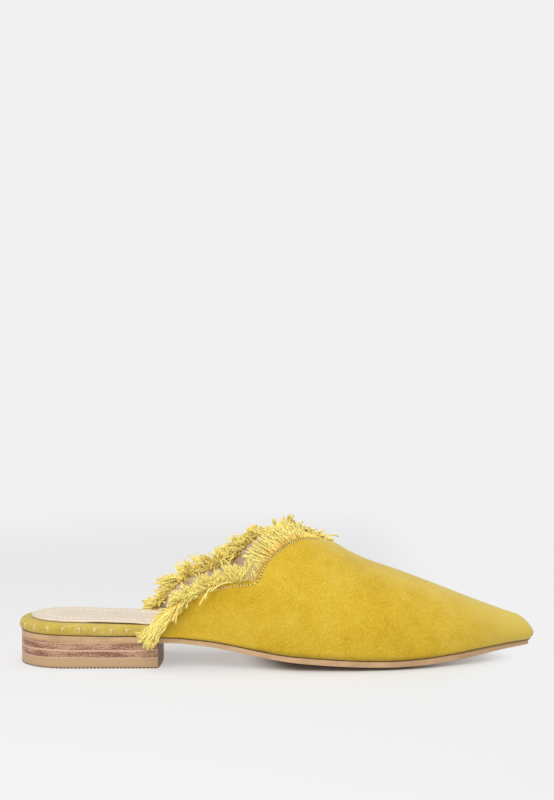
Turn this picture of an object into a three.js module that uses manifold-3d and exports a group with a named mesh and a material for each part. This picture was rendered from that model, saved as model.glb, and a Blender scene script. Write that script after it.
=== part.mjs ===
// Babouche slipper for the right foot: a flat pointed mule with a frayed thread collar.
// Millimetres. X runs towards the toe, Y to the inner side of the foot, Z up from the floor, so
// the outer (lateral) side of the foot is at negative Y. The tables measure x from the back of
// the heel.
import * as THREE from "three";
import Module from "manifold-3d";

// Plan of the last
const LAST_LENGTH = 269.3;
const HEEL_RADIUS = 27;
const TOE_RADIUS = 5;
const TOE_CENTRE_Y = 4.5;
const TOE_ARC_START = THREE.MathUtils.degToRad(28);

// Thicknesses and clearances
const WALL = 1.6;
const GAP = 0.3;
const SOCK_THICKNESS = 1.0;
const FOOTBED_FLATTENING = { start: 60, end: 110, share: 0.75 };

// Stacked heel, from the floor up
const TREAD_TOP = 1.0;
const TOP_LIFT_TOP = 5.2;
const LOWER_LIFT_TOP = 9.2;
const HEEL_SEAT = 13.2;
const BREAST_X = 73.5;
const BREAST_SWELL = 1.6;
const HEEL_INSET = 0.7;
const HEEL_FRONT_HALF_WIDTH = 26.2;
const HEEL_CURVE_SEGMENTS = 14;

// Collar: the throat in front, the tab beside it, the notch at the ankle and the rear ends
const THROAT_X = 163.3;
const TAB_X = 157;
const NOTCH_X = 123.4;
const REAR_X = { lateral: 71.7, medial: 65.6 };

// Frayed band and its locks
const BAND_HEIGHT = 3.0;
const BAND_WIDTH = 1.5;
const LOCK_PITCH = 4.9;
const LOCK_WIDTHS = [4.2, 3.6, 1.6];
const LOCK_DEPTHS = [1.3, 1.7, 1.0];
const LOCK_LEAN_SCATTER = { outward: 0.12, rearward: 0.15 };
const LOCK_LENGTH_SCATTER = 0.15;
const LOCK_DROOP = 0.3;
const TUFT_SHARES = [0, 0.3, 0.7, 1];
const TUFT_STRANDS = 5;
const TUFT_WIDTHS = [2.0, 2.4, 2.0, 1.2];
const TUFT_ARCH = 3.0;
const TUFT_BEND = 2.0;
const TUFT_FACE = new THREE.Vector3(0.6, 0, -0.8);
const TUFT_REACH = { lateral: 1, medial: 0.6 };

// Grid of the upper; vertices closer than the weld distance are one.
const WING_STEPS = 13;
const ANKLE_STEPS = 8;
const TAB_STEPS = 4;
const THROAT_STEP = WING_STEPS + ANKLE_STEPS + TAB_STEPS;
const VAMP_STEPS = 17;
const TOE_ARC_STEPS = 4;
const RISE_STEPS = 10;
const WELD_DISTANCE = 1e-4;

// Smooth curve through a table that never overshoots its rows.
function monotoneCurve(x, y) {
  const last = x.length - 1;
  const step = x.slice(1).map((value, i) => value - x[i]);
  const slope = step.map((h, i) => (y[i + 1] - y[i]) / h);
  const tangent = y.map((value, i) => {
    if (i === 0) return slope[0];
    if (i === last) return slope[last - 1];
    if (slope[i - 1] * slope[i] <= 0) return 0;
    const before = 2 * step[i] + step[i - 1];
    const after = step[i] + 2 * step[i - 1];
    return (before + after) / (before / slope[i - 1] + after / slope[i]);
  });
  return (at) => {
    if (at <= x[0]) return y[0] + (at - x[0]) * tangent[0];
    if (at >= x[last]) return y[last] + (at - x[last]) * tangent[last];
    const i = x.findIndex((value) => value > at) - 1;
    const t = (at - x[i]) / step[i];
    const t2 = t * t;
    const t3 = t2 * t;
    return (
      (2 * t3 - 3 * t2 + 1) * y[i] +
      (t3 - 2 * t2 + t) * step[i] * tangent[i] +
      (3 * t2 - 2 * t3) * y[i + 1] +
      (t3 - t2) * step[i] * tangent[i + 1]
    );
  };
}

// Turns rows into one smooth function of x for each named column.
function tableOf(columns, rows) {
  const x = rows.map((row) => row[0]);
  const entries = columns.slice(1).map((name, i) => [
    name,
    monotoneCurve(x, rows.map((row) => row[i + 1])),
  ]);
  return Object.fromEntries(entries);
}

// Half widths of the feather edge either side of the heel's axis
const PLAN = tableOf(["x", "lateral", "medial"], [
  [27, 27.0, 27.0],
  [50, 27.0, 26.2],
  [73, 27.0, 24.2],
  [95, 28.5, 22.8],
  [110, 30.8, 23.4],
  [126, 34.0, 26.2],
  [148, 37.0, 33.0],
  [168, 37.4, 38.0],
  [187, 35.6, 38.4],
  [205, 31.2, 34.6],
  [225, 22.8, 27.0],
  [245, 12.0, 18.6],
  [257, 5.0, 13.3],
  [266.65, -0.09, 8.91],
]);

// Heights along the sole: top of its edge, underside of its edge, and how far the underside
// bellies down between its edges
const SOLE = tableOf(["x", "top", "bottom", "belly"], [
  [0, 17.3, HEEL_SEAT, 0],
  [20, 17.1, HEEL_SEAT, 0],
  [45, 16.5, HEEL_SEAT, 0],
  [74, 15.9, HEEL_SEAT, 0],
  [81, 15.75, HEEL_SEAT, 0],
  [95, 14.6, 12.1, 0.5],
  [109, 12.8, 10.1, 1.0],
  [124, 10.1, 7.3, 1.5],
  [138, 7.9, 5.0, 2.0],
  [152, 6.7, 3.6, 2.5],
  [167, 5.7, 2.6, 3.0],
  [184, 4.9, 1.8, 2.8],
  [196, 4.6, 1.5, 2.3],
  [212, 5.1, 1.8, 1.8],
  [225, 5.9, 2.6, 1.2],
  [238, 7.2, 4.0, 0.9],
  [252, 8.5, 5.7, 0.6],
  [269.3, 9.7, 7.3, 0.3],
]);

// How far each layer's edge stands inside the feather edge, and how thick the footbed is
const EDGE = tableOf(["x", "sole", "upper", "footbed", "sock", "bed"], [
  [0, 0.7, -0.8, 0, 5.7, 6.0],
  [30, 0.7, -0.8, 0, 4.8, 5.9],
  [50, 0.6, -0.8, 0.1, 4.4, 5.8],
  [64, 0.1, -0.8, 1.15, 4.2, 5.6],
  [85, -0.1, -0.3, 1.75, 3.6, 5.2],
  [110, 0, 0, 2.05, 3.0, 4.7],
  [152, 0, 0, 2.1, 2.9, 4.0],
  [205, 0, 0, 2.1, 2.9, 3.4],
  [240, 0.4, 0, 2.1, 2.9, 3.0],
  [269.3, 0.8, 0, 2.1, 2.9, 2.6],
]);

// Cross sections of the last: place and height of the crest, how far the section fans back
// towards the toe, how far each side swells past the feather edge, and how square the section is
const SECTION = tableOf(["x", "crestY", "crestZ", "fan", "lateralSwell", "medialSwell", "square"], [
  [60, 2.0, 112, 0, 1.2, 2.0, 2.4],
  [100, 2.5, 98, 0, 2.2, 4.0, 2.4],
  [125, 3.0, 86, 0, 2.4, 4.4, 2.35],
  [148, 3.2, 72, 0, 2.0, 3.4, 2.25],
  [165, 3.6, 61.6, 0, 1.6, 2.4, 2.2],
  [180, 4.2, 53.4, 0, 1.4, 1.8, 2.2],
  [199, 5.0, 46.5, 0, 1.2, 1.4, 2.2],
  [218, 5.4, 39.4, 0.6, 1.2, 1.2, 2.15],
  [238, 5.4, 31.6, 2.2, 1.3, 1.3, 2.15],
  [255, 5.0, 25.4, 5.0, 1.6, 1.6, 2.3],
  [269.3, 4.5, 20.8, 9.2, 2.1, 2.1, 2.9],
]);

// Where the collar's edge cuts the section on each side, in degrees of rise from the feather
// edge (0) to the crest (90), as far forward as the tab
const COLLAR = tableOf(["x", "lateral", "medial"], [
  [65.6, 0.2, 0.5],
  [71.7, 0.4, 3.0],
  [75, 1.7, 5.0],
  [78, 4.1, 7.4],
  [82, 6.7, 9.9],
  [88, 10.3, 12.4],
  [96, 13.8, 15.2],
  [105, 17.2, 19.0],
  [113, 20.2, 24.2],
  [118, 22.0, 30.2],
  [123.4, 24.5, 37.2],
  [126.5, 31.5, 41.0],
  [130, 37.8, 45.2],
  [134, 44.2, 50.4],
  [140, 53.8, 58.0],
  [145, 61.5, 64.0],
  [151, 69.5, 70.4],
  [157, 77.8, 76.6],
]);

// How the locks stand along the collar: lean out of the upper, lean back towards the heel, and
// their length on each side
const LOCK = tableOf(["x", "outward", "rearward", "lateral", "medial"], [
  [66, 0.5, 0.5, 7.5, 7.5],
  [100, 0.5, 0.35, 9, 8.5],
  [120, 0.35, 0.1, 9, 7.5],
  [135, 0.15, 0.3, 10, 5.5],
  [148, -0.1, 0.25, 9, 4.5],
  [164, -0.5, 0, 5, 4],
]);

// Strands of the loose tuft at the rear end of the collar: end point beyond the last lock, seen
// from that lock (back, out and down)
const TUFT = tableOf(["strand", "back", "out", "down"], [
  [0, 12.5, 2.2, 5.0],
  [1, 11.0, 3.2, 8.0],
  [2, 8.5, 4.2, 11.5],
  [3, 7.5, 4.6, 13.5],
  [4, 5.0, 3.0, 11.0],
]);

const SIDES = { lateral: -1, medial: 1 };
// Brings the swell's curve h(1 - h)^2 up to 1 at its highest.
const SWELL_PEAK = 6.75;
const SIDE_END_X = LAST_LENGTH - TOE_RADIUS + TOE_RADIUS * Math.sin(TOE_ARC_START);

// The feather edge runs through three stretches: heel arc 0 to 1, side 1 to 2, toe arc 2 to 3.
function featherPoint(station, side) {
  const sign = SIDES[side];
  if (station <= 1) {
    const angle = (station * Math.PI) / 2;
    return new THREE.Vector2(
      HEEL_RADIUS * (1 - Math.cos(angle)),
      sign * HEEL_RADIUS * Math.sin(angle),
    );
  }
  if (station <= 2) {
    const x = THREE.MathUtils.lerp(HEEL_RADIUS, SIDE_END_X, station - 1);
    return new THREE.Vector2(x, sign * PLAN[side](x));
  }
  const angle = THREE.MathUtils.lerp(TOE_ARC_START, Math.PI / 2, station - 2);
  return new THREE.Vector2(
    LAST_LENGTH - TOE_RADIUS + TOE_RADIUS * Math.sin(angle),
    TOE_CENTRE_Y + sign * TOE_RADIUS * Math.cos(angle),
  );
}

function stationAt(x) {
  return 1 + (x - HEEL_RADIUS) / (SIDE_END_X - HEEL_RADIUS);
}

// Outward normal of the feather edge in plan
function featherNormal(station, side) {
  const sign = SIDES[side];
  if (station <= 0) return new THREE.Vector2(-1, 0);
  if (station >= 3) return new THREE.Vector2(1, 0);
  const reach = 0.01;
  const before = featherPoint(Math.max(0, station - reach), side);
  const after = featherPoint(Math.min(3, station + reach), side);
  const tangent = after.sub(before).normalize();
  return new THREE.Vector2(-sign * tangent.y, sign * tangent.x);
}

function insetPoint(station, side, inset) {
  return featherPoint(station, side).addScaledVector(featherNormal(station, side), -inset);
}

// Closed body gathered from vertices and triangles; vertices in one place are shared.
class Body {
  constructor() {
    this.vertices = [];
    this.triangles = [];
    this.lookup = new Map();
  }

  point(vector) {
    const key = vector.toArray().map((value) => Math.round(value / WELD_DISTANCE)).join();
    if (!this.lookup.has(key)) {
      this.lookup.set(key, this.vertices.length);
      this.vertices.push(vector.clone());
    }
    return this.lookup.get(key);
  }

  triangle(a, b, c) {
    if (a !== b && b !== c && c !== a) this.triangles.push([a, b, c]);
  }

  quad(a, b, c, d) {
    this.triangle(a, b, c);
    this.triangle(a, c, d);
  }

  geometry() {
    const geometry = new THREE.BufferGeometry();
    const positions = this.vertices.flatMap((vertex) => vertex.toArray());
    geometry.setAttribute("position", new THREE.Float32BufferAttribute(positions, 3));
    geometry.setIndex(this.triangles.flat());
    geometry.computeVertexNormals();
    return geometry;
  }
}

// Skin over rings of points, one ring for each station; a ring at either end is flat and closes.
function skinOfRings(rings) {
  const body = new Body();
  const ids = rings.map((ring) => ring.map((point) => body.point(point)));
  for (let i = 0; i + 1 < ids.length; i += 1) {
    const count = ids[i].length;
    for (let k = 0; k < count; k += 1) {
      const next = (k + 1) % count;
      body.quad(ids[i][k], ids[i + 1][k], ids[i + 1][next], ids[i][next]);
    }
  }
  return body.geometry();
}

// Stations all the way round, close together on both round ends
function fullStations(heelSteps, sideSteps, toeSteps) {
  const stretch = (start, count) => Array.from({ length: count }, (_, i) => start + i / count);
  return [...stretch(0, heelSteps), ...stretch(1, sideSteps), ...stretch(2, toeSteps), 3];
}

// Layer that follows the last. profile lists the steps of its edge from below to above, each
// with inset (from the layer's own edge) and level (0 at the underside, 1 at the top).
function layer(stations, edgeInset, profile, across, topAt, bottomAt) {
  const rings = stations.map((station) => {
    const edgePoint = (side, step) => {
      const middle = featherPoint(station, side).x;
      const inset = edgeInset(middle) + step.inset(middle);
      const plan = insetPoint(station, side, inset);
      const low = bottomAt(plan.x, SIDES[side]);
      const high = topAt(plan.x, SIDES[side]);
      return new THREE.Vector3(plan.x, plan.y, THREE.MathUtils.lerp(low, high, step.level));
    };
    const lateral = profile.map((step) => edgePoint("lateral", step));
    const medial = profile.map((step) => edgePoint("medial", step));
    const between = (from, to, heightAt) =>
      across.map((share) => {
        const point = from.clone().lerp(to, share);
        point.z = heightAt(point.x, 2 * share - 1);
        return point;
      });
    const top = between(lateral.at(-1), medial.at(-1), topAt);
    const bottom = between(lateral[0], medial[0], bottomAt).reverse();
    return [...lateral, ...top, ...medial.reverse(), ...bottom];
  });
  return skinOfRings(rings);
}

const flush = () => 0;

function makeOutsole() {
  const across = [0.1, 0.28, 0.5, 0.72, 0.9];
  const profile = [
    { inset: flush, level: 0 },
    { inset: flush, level: 1 },
  ];
  const underside = (x, share) =>
    Math.max(0, SOLE.bottom(x) - SOLE.belly(x) * (1 - share * share));
  return layer(
    fullStations(6, 36, 3), EDGE.sole, profile, across, (x) => SOLE.top(x), underside,
  );
}

// Footbed: its rounded edge shows round the open heel and flattens inside the upper.
function makeFootbed() {
  const { start, end, share } = FOOTBED_FLATTENING;
  const roll = (x) => 1 - share * THREE.MathUtils.smoothstep(x, start, end);
  const profile = [
    { inset: (x) => 1.3 * roll(x), level: 0 },
    { inset: (x) => 0.3 * roll(x), level: 0.16 },
    { inset: flush, level: 0.42 },
    { inset: (x) => 0.3 * roll(x), level: 0.68 },
    { inset: (x) => 1.3 * roll(x), level: 0.9 },
    { inset: (x) => 3.4 * roll(x), level: 1 },
  ];
  const bottom = (x) => SOLE.top(x) + GAP;
  const top = (x) => bottom(x) + EDGE.bed(x);
  return layer(fullStations(7, 26, 3), EDGE.footbed, profile, [0.3, 0.7], top, bottom);
}

// Sock: the thin lining sheet that the foot stands on, thinner at its edge.
function makeSock() {
  const profile = [
    { inset: flush, level: 0 },
    { inset: flush, level: 0.55 },
    { inset: () => 1.0, level: 1 },
  ];
  const bottom = (x) => SOLE.top(x) + 2 * GAP + EDGE.bed(x);
  const top = (x) => bottom(x) + SOCK_THICKNESS;
  return layer(fullStations(7, 24, 3), EDGE.sock, profile, [0.35, 0.65], top, bottom);
}

// Point on the outside of the upper. rise runs from 0 at the feather edge to 90 degrees at the
// crest.
function upperPoint(station, side, rise) {
  const feather = featherPoint(station, side);
  const x = feather.x;
  const outward = featherNormal(station, side);
  const foot = feather.clone().addScaledVector(outward, -EDGE.upper(x));
  const crest = new THREE.Vector2(x - SECTION.fan(x), SECTION.crestY(x));
  const power = 2 / SECTION.square(x);
  const spread = Math.max(0, Math.cos(rise)) ** power;
  const height = Math.sin(rise) ** power;
  const swell = side === "lateral" ? SECTION.lateralSwell(x) : SECTION.medialSwell(x);
  const swellShare = SWELL_PEAK * height * (1 - height) ** 2;
  const plan = crest.clone().lerp(foot, spread).addScaledVector(outward, swell * swellShare);
  const low = SOLE.top(foot.x) + GAP;
  return new THREE.Vector3(
    plan.x, plan.y, THREE.MathUtils.lerp(low, SECTION.crestZ(plan.x), height),
  );
}

// Rise at which the collar's edge cuts the section at a station: the table as far as the tab,
// then a round throat
function collarRise(station, side) {
  const x = featherPoint(station, side).x;
  const riseAt = (place) => THREE.MathUtils.degToRad(COLLAR[side](place));
  if (x <= TAB_X) return riseAt(x);
  if (x >= THROAT_X) return Math.PI / 2;
  const opening = Math.PI / 2 - riseAt(TAB_X);
  return Math.PI / 2 - opening * Math.sqrt((THROAT_X - x) / (THROAT_X - TAB_X));
}

function upperStations(side) {
  const even = (from, to, count) =>
    Array.from({ length: count }, (_, i) => THREE.MathUtils.lerp(from, to, i / count));
  const throat = even(1, 0, TAB_STEPS).map((left) => THROAT_X - left ** 2 * (THROAT_X - TAB_X));
  const places = [
    ...even(REAR_X[side], NOTCH_X, WING_STEPS),
    ...even(NOTCH_X, TAB_X, ANKLE_STEPS),
    ...throat,
    ...even(THROAT_X, SIDE_END_X, VAMP_STEPS),
  ];
  const toe = Array.from({ length: TOE_ARC_STEPS + 1 }, (_, i) => 2 + i / TOE_ARC_STEPS);
  return [...places.map(stationAt), ...toe];
}

// Outer and inner faces of the upper as grids: grid[side][station][rise]
function upperGrids() {
  const outer = {};
  for (const side of Object.keys(SIDES)) {
    outer[side] = upperStations(side).map((station) => {
      const top = collarRise(station, side);
      return Array.from({ length: RISE_STEPS + 1 }, (_, j) =>
        upperPoint(station, side, (top * j) / RISE_STEPS),
      );
    });
  }
  const face = new Body();
  const ids = {};
  for (const side of Object.keys(SIDES)) {
    ids[side] = outer[side].map((rib) => rib.map((point) => face.point(point)));
    addFace(face, ids[side], side === "lateral");
  }
  const normals = face.geometry().getAttribute("normal");
  const normal = new THREE.Vector3();
  const inner = {};
  for (const side of Object.keys(SIDES)) {
    inner[side] = ids[side].map((rib) =>
      rib.map((id, j) => {
        normal.fromBufferAttribute(normals, id);
        const point = face.vertices[id].clone().addScaledVector(normal, -WALL);
        if (j === 0) point.z = SOLE.top(point.x) + GAP;
        return point;
      }),
    );
  }
  return { outer, inner };
}

// Quads of one face of a grid; forward tells which way they look.
function addFace(body, ids, forward) {
  for (let i = 0; i + 1 < ids.length; i += 1) {
    for (let j = 0; j + 1 < ids[i].length; j += 1) {
      const ring = [ids[i][j], ids[i + 1][j], ids[i + 1][j + 1], ids[i][j + 1]];
      body.quad(...(forward ? ring : ring.reverse()));
    }
  }
}

function makeUpper({ outer, inner }) {
  const body = new Body();
  for (const side of Object.keys(SIDES)) {
    const forward = side === "lateral";
    const out = outer[side].map((rib) => rib.map((point) => body.point(point)));
    const into = inner[side].map((rib) => rib.map((point) => body.point(point)));
    addFace(body, out, forward);
    addFace(body, into, !forward);
    const rim = (ribs) => ribs.slice(0, THROAT_STEP + 1).map((rib) => rib.at(-1));
    const foot = (ribs) => ribs.map((rib) => rib[0]);
    addFace(body, [foot(out), foot(into)], forward);
    addFace(body, [into[0], out[0]], forward);
    addFace(body, [rim(into), rim(out)], forward);
  }
  return body.geometry();
}

// Places along the collar's edge from the lateral end over the throat to the medial end, each
// with the directions along the edge, out of the upper and up out of the collar
function collarPath({ outer, inner }) {
  const rim = (side, i) => {
    const out = outer[side][i].at(-1);
    const into = inner[side][i].at(-1);
    return {
      place: out.clone().lerp(into, 0.5),
      outward: out.clone().sub(into).normalize(),
    };
  };
  const count = THROAT_STEP;
  const lateral = Array.from({ length: count }, (_, k) => rim("lateral", k + 1));
  const medial = Array.from({ length: count - 1 }, (_, k) => rim("medial", count - 1 - k));
  const path = [...lateral, ...medial];
  path.forEach((spot, i) => {
    const before = path[Math.max(0, i - 1)].place;
    const after = path[Math.min(path.length - 1, i + 1)].place;
    spot.along = after.clone().sub(before).normalize();
    spot.up = spot.outward.clone().cross(spot.along).normalize();
  });
  return path;
}

// Spot on the collar's edge at a share of its length
function spotOnCollar(path, lengths, distance) {
  const i = Math.max(1, lengths.findIndex((value) => value >= distance));
  const t = (distance - lengths[i - 1]) / (lengths[i] - lengths[i - 1]);
  const mix = (name) => path[i - 1][name].clone().lerp(path[i][name], t);
  return {
    place: mix("place"),
    along: mix("along").normalize(),
    outward: mix("outward").normalize(),
    up: mix("up").normalize(),
  };
}

// Four-sided strip along a list of points; widths and depths are its full sizes at each point.
function strip(points, acrossAt, widths, depths) {
  const rings = points.map((point, i) => {
    const before = points[Math.max(0, i - 1)];
    const after = points[Math.min(points.length - 1, i + 1)];
    const along = after.clone().sub(before).normalize();
    const across = acrossAt.clone().addScaledVector(along, -along.dot(acrossAt)).normalize();
    const depth = along.clone().cross(across);
    const corner = (u, v) =>
      point.clone()
        .addScaledVector(across, (u * widths[i]) / 2)
        .addScaledVector(depth, (v * depths[i]) / 2);
    return [corner(-1, -1), corner(-1, 1), corner(1, 1), corner(1, -1)];
  });
  return closedStrip(rings);
}

function closedStrip(rings) {
  const body = new Body();
  const ids = rings.map((ring) => ring.map((point) => body.point(point)));
  for (let i = 0; i + 1 < ids.length; i += 1) {
    for (let k = 0; k < 4; k += 1) {
      const next = (k + 1) % 4;
      body.quad(ids[i][k], ids[i + 1][k], ids[i + 1][next], ids[i][next]);
    }
  }
  body.quad(...ids[0]);
  body.quad(...ids.at(-1).slice().reverse());
  return body;
}

// Repeatable scatter between -1 and 1
function scatter(index, salt) {
  const value = Math.sin(index * 12.9898 + salt * 78.233) * 43758.5453;
  return 2 * (value - Math.floor(value)) - 1;
}

const wasm = await Module();
wasm.setup();

function solidOf(body) {
  const mesh = new wasm.Mesh({
    numProp: 3,
    vertProperties: new Float32Array(body.vertices.flatMap((vertex) => vertex.toArray())),
    triVerts: new Uint32Array(body.triangles.flat()),
  });
  return new wasm.Manifold(mesh);
}

function geometryOf(solid) {
  const { vertProperties, triVerts } = solid.getMesh();
  const geometry = new THREE.BufferGeometry();
  geometry.setAttribute("position", new THREE.BufferAttribute(vertProperties, 3));
  geometry.setIndex(new THREE.BufferAttribute(triVerts, 1));
  geometry.computeVertexNormals();
  return geometry;
}

function makeBand(path) {
  const rings = path.map((spot) => {
    const corner = (outward, up) =>
      spot.place.clone()
        .addScaledVector(spot.outward, (outward * BAND_WIDTH) / 2)
        .addScaledVector(spot.up, GAP + up * BAND_HEIGHT);
    return [corner(-1, 0), corner(1, 0), corner(1, 1), corner(-1, 1)];
  });
  return closedStrip(rings);
}

// Locks that stand out of the band, each bent a little over its length
function makeLocks(path) {
  const lengths = [0];
  path.slice(1).forEach((spot, i) => {
    lengths.push(lengths[i] + spot.place.distanceTo(path[i].place));
  });
  const total = lengths.at(-1);
  const count = Math.floor(total / LOCK_PITCH);
  return Array.from({ length: count }, (_, k) => {
    const spot = spotOnCollar(path, lengths, ((k + 0.5) * total) / count);
    const rearward = spot.along.clone().multiplyScalar(-Math.sign(spot.along.x || 1));
    const { x } = spot.place;
    const lean = spot.up.clone()
      .addScaledVector(spot.outward, LOCK.outward(x) + LOCK_LEAN_SCATTER.outward * scatter(k, 1))
      .addScaledVector(rearward, LOCK.rearward(x) + LOCK_LEAN_SCATTER.rearward * scatter(k, 2))
      .normalize();
    const side = spot.outward.y < 0 ? "lateral" : "medial";
    const length = LOCK[side](x) * (1 + LOCK_LENGTH_SCATTER * scatter(k, 3));
    const droop = spot.outward.clone().multiplyScalar(LOCK.outward(x) * LOCK_DROOP * length);
    const root = spot.place.clone().addScaledVector(spot.up, GAP + BAND_HEIGHT / 2);
    const points = [0, 0.5, 1].map((share) =>
      root.clone().addScaledVector(lean, length * share).addScaledVector(droop, share * share),
    );
    return strip(points, spot.along, LOCK_WIDTHS, LOCK_DEPTHS);
  });
}

// Loose tuft at one end of the collar, hanging back and down outside the sole's edge
function makeTuft(spot, side) {
  const root = spot.place.clone().addScaledVector(spot.up, GAP + BAND_HEIGHT / 2);
  const out = new THREE.Vector3(0, SIDES[side], 0);
  const up = new THREE.Vector3(0, 0, 1);
  return Array.from({ length: TUFT_STRANDS }, (_, k) => {
    const end = new THREE.Vector3(-TUFT.back(k), 0, -TUFT.down(k));
    const points = TUFT_SHARES.map((share) =>
      root.clone()
        .addScaledVector(end, share * TUFT_REACH[side])
        .addScaledVector(out, TUFT.out(k) * Math.sin(share * TUFT_BEND))
        .addScaledVector(up, TUFT_ARCH * share * (1 - share)),
    );
    return strip(points, TUFT_FACE, TUFT_WIDTHS, TUFT_WIDTHS);
  });
}

function makeFringe(grids) {
  const path = collarPath(grids);
  const strands = [
    ...makeLocks(path),
    ...makeTuft(path[0], "lateral"),
    ...makeTuft(path.at(-1), "medial"),
  ];
  let solid = solidOf(makeBand(path));
  for (const strand of strands) {
    solid = solid.add(solidOf(strand));
  }
  const shells = solid.decompose().sort((a, b) => b.volume() - a.volume());
  return geometryOf(shells[0]);
}

// Plate of the stacked heel: round at the back, with a breast that swells a little to the front
function makeLift(low, high) {
  const radius = HEEL_RADIUS - HEEL_INSET;
  const shape = new THREE.Shape();
  shape.moveTo(BREAST_X, -HEEL_FRONT_HALF_WIDTH);
  shape.quadraticCurveTo(BREAST_X + 2 * BREAST_SWELL, 0, BREAST_X, HEEL_FRONT_HALF_WIDTH);
  shape.lineTo(HEEL_RADIUS, radius);
  shape.absarc(HEEL_RADIUS, 0, radius, Math.PI / 2, (3 * Math.PI) / 2, false);
  const plate = new THREE.ExtrudeGeometry(shape, {
    depth: high - low,
    bevelEnabled: false,
    curveSegments: HEEL_CURVE_SEGMENTS,
  });
  plate.translate(0, 0, low);
  return plate;
}

const finish = (color, roughness) =>
  new THREE.MeshStandardMaterial({ color, roughness, metalness: 0 });
const SUEDE = finish(0xd9b439, 0.95);
const PALE_THREAD = finish(0xdcc86e, 0.9);
const SOLE_LEATHER = finish(0xc5a26a, 0.6);
const STACKED_LEATHER = finish(0xad866d, 0.55);
const TOP_LIFT_RUBBER = finish(0xc9a77e, 0.6);
const TREAD_RUBBER = finish(0x6a5340, 0.8);
const SOCK_LEATHER = finish(0xe4d5bf, 0.6);

// The slipper's own origin is on the floor, under the centre of the round heel.
const slipper = new THREE.Group();
slipper.position.x = -HEEL_RADIUS;

function addPiece(name, geometry, material) {
  const mesh = new THREE.Mesh(geometry, material);
  mesh.name = name;
  slipper.add(mesh);
}

const grids = upperGrids();
addPiece("outsole", makeOutsole(), SOLE_LEATHER);
addPiece("footbed", makeFootbed(), SUEDE);
addPiece("insole", makeSock(), SOCK_LEATHER);
addPiece("upper", makeUpper(grids), SUEDE);
addPiece("fringe", makeFringe(grids), PALE_THREAD);
addPiece("heel_lift_upper", makeLift(LOWER_LIFT_TOP, HEEL_SEAT), STACKED_LEATHER);
addPiece("heel_lift_lower", makeLift(TOP_LIFT_TOP, LOWER_LIFT_TOP), STACKED_LEATHER);
addPiece("top_lift", makeLift(TREAD_TOP, TOP_LIFT_TOP), TOP_LIFT_RUBBER);
addPiece("heel_tread", makeLift(0, TREAD_TOP), TREAD_RUBBER);

export default slipper;
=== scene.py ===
"""Right babouche slipper: a pointed yellow suede mule with a frayed thread collar.

Lengths are in millimetres and x starts at the back of the heel until a mesh is made. A mesh is in
metres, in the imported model's frame, whose origin lies on the floor under the centre of the round
heel. Y runs to the inner side of the foot and z runs up.
"""

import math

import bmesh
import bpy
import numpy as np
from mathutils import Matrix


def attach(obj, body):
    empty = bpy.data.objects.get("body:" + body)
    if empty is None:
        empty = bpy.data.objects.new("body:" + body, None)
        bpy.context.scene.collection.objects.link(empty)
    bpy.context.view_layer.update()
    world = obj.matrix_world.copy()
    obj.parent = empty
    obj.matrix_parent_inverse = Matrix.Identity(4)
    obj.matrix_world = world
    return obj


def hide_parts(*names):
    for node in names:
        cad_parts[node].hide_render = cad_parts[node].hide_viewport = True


bl_info = {
    "name": "Babouche slipper",
    "version": (1, 0, 0),
    "blender": (4, 5, 0),
    "location": "View3D > Sidebar > Slipper",
    "description": "Builds a pointed suede slipper with a frayed thread collar",
    "category": "Add Mesh",
}

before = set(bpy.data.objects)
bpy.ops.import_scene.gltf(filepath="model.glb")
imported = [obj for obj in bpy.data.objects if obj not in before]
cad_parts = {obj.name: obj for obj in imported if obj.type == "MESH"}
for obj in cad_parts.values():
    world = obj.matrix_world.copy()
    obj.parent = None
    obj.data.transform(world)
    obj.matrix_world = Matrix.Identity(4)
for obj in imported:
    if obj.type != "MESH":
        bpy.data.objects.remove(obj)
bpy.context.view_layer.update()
BODY = "root"
MM = 0.001

# Plan of the last
LAST_LENGTH = 269.3
HEEL_RADIUS = 27.0
TOE_RADIUS = 5.0
TOE_CENTRE_Y = 4.5
TOE_ARC_START = math.radians(28)

# Thicknesses and clearances
WALL = 1.6
SUEDE_THICKNESS = 0.95
GAP = 0.3
SOCK_THICKNESS = 1.0

# Stacked heel, from the floor up
TREAD_TOP = 1.0
TOP_LIFT_TOP = 5.2
LOWER_LIFT_TOP = 9.2
HEEL_SEAT = 13.2
BREAST_X = 73.5
BREAST_SWELL = 1.6
HEEL_INSET = 0.7
HEEL_FRONT_HALF_WIDTH = 26.2

# Collar: the throat in front, the tab beside it, the notch at the ankle and the rear ends
THROAT_X = 163.3
TAB_X = 157.0
NOTCH_X = 123.4
REAR_X = {"lateral": 71.7, "medial": 65.6}

SIDES = {"lateral": -1, "medial": 1}
SIDE_END_X = LAST_LENGTH - TOE_RADIUS + TOE_RADIUS * math.sin(TOE_ARC_START)
# Brings the swell's curve h(1 - h)^2 up to 1 at its highest.
SWELL_PEAK = 6.75


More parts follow.
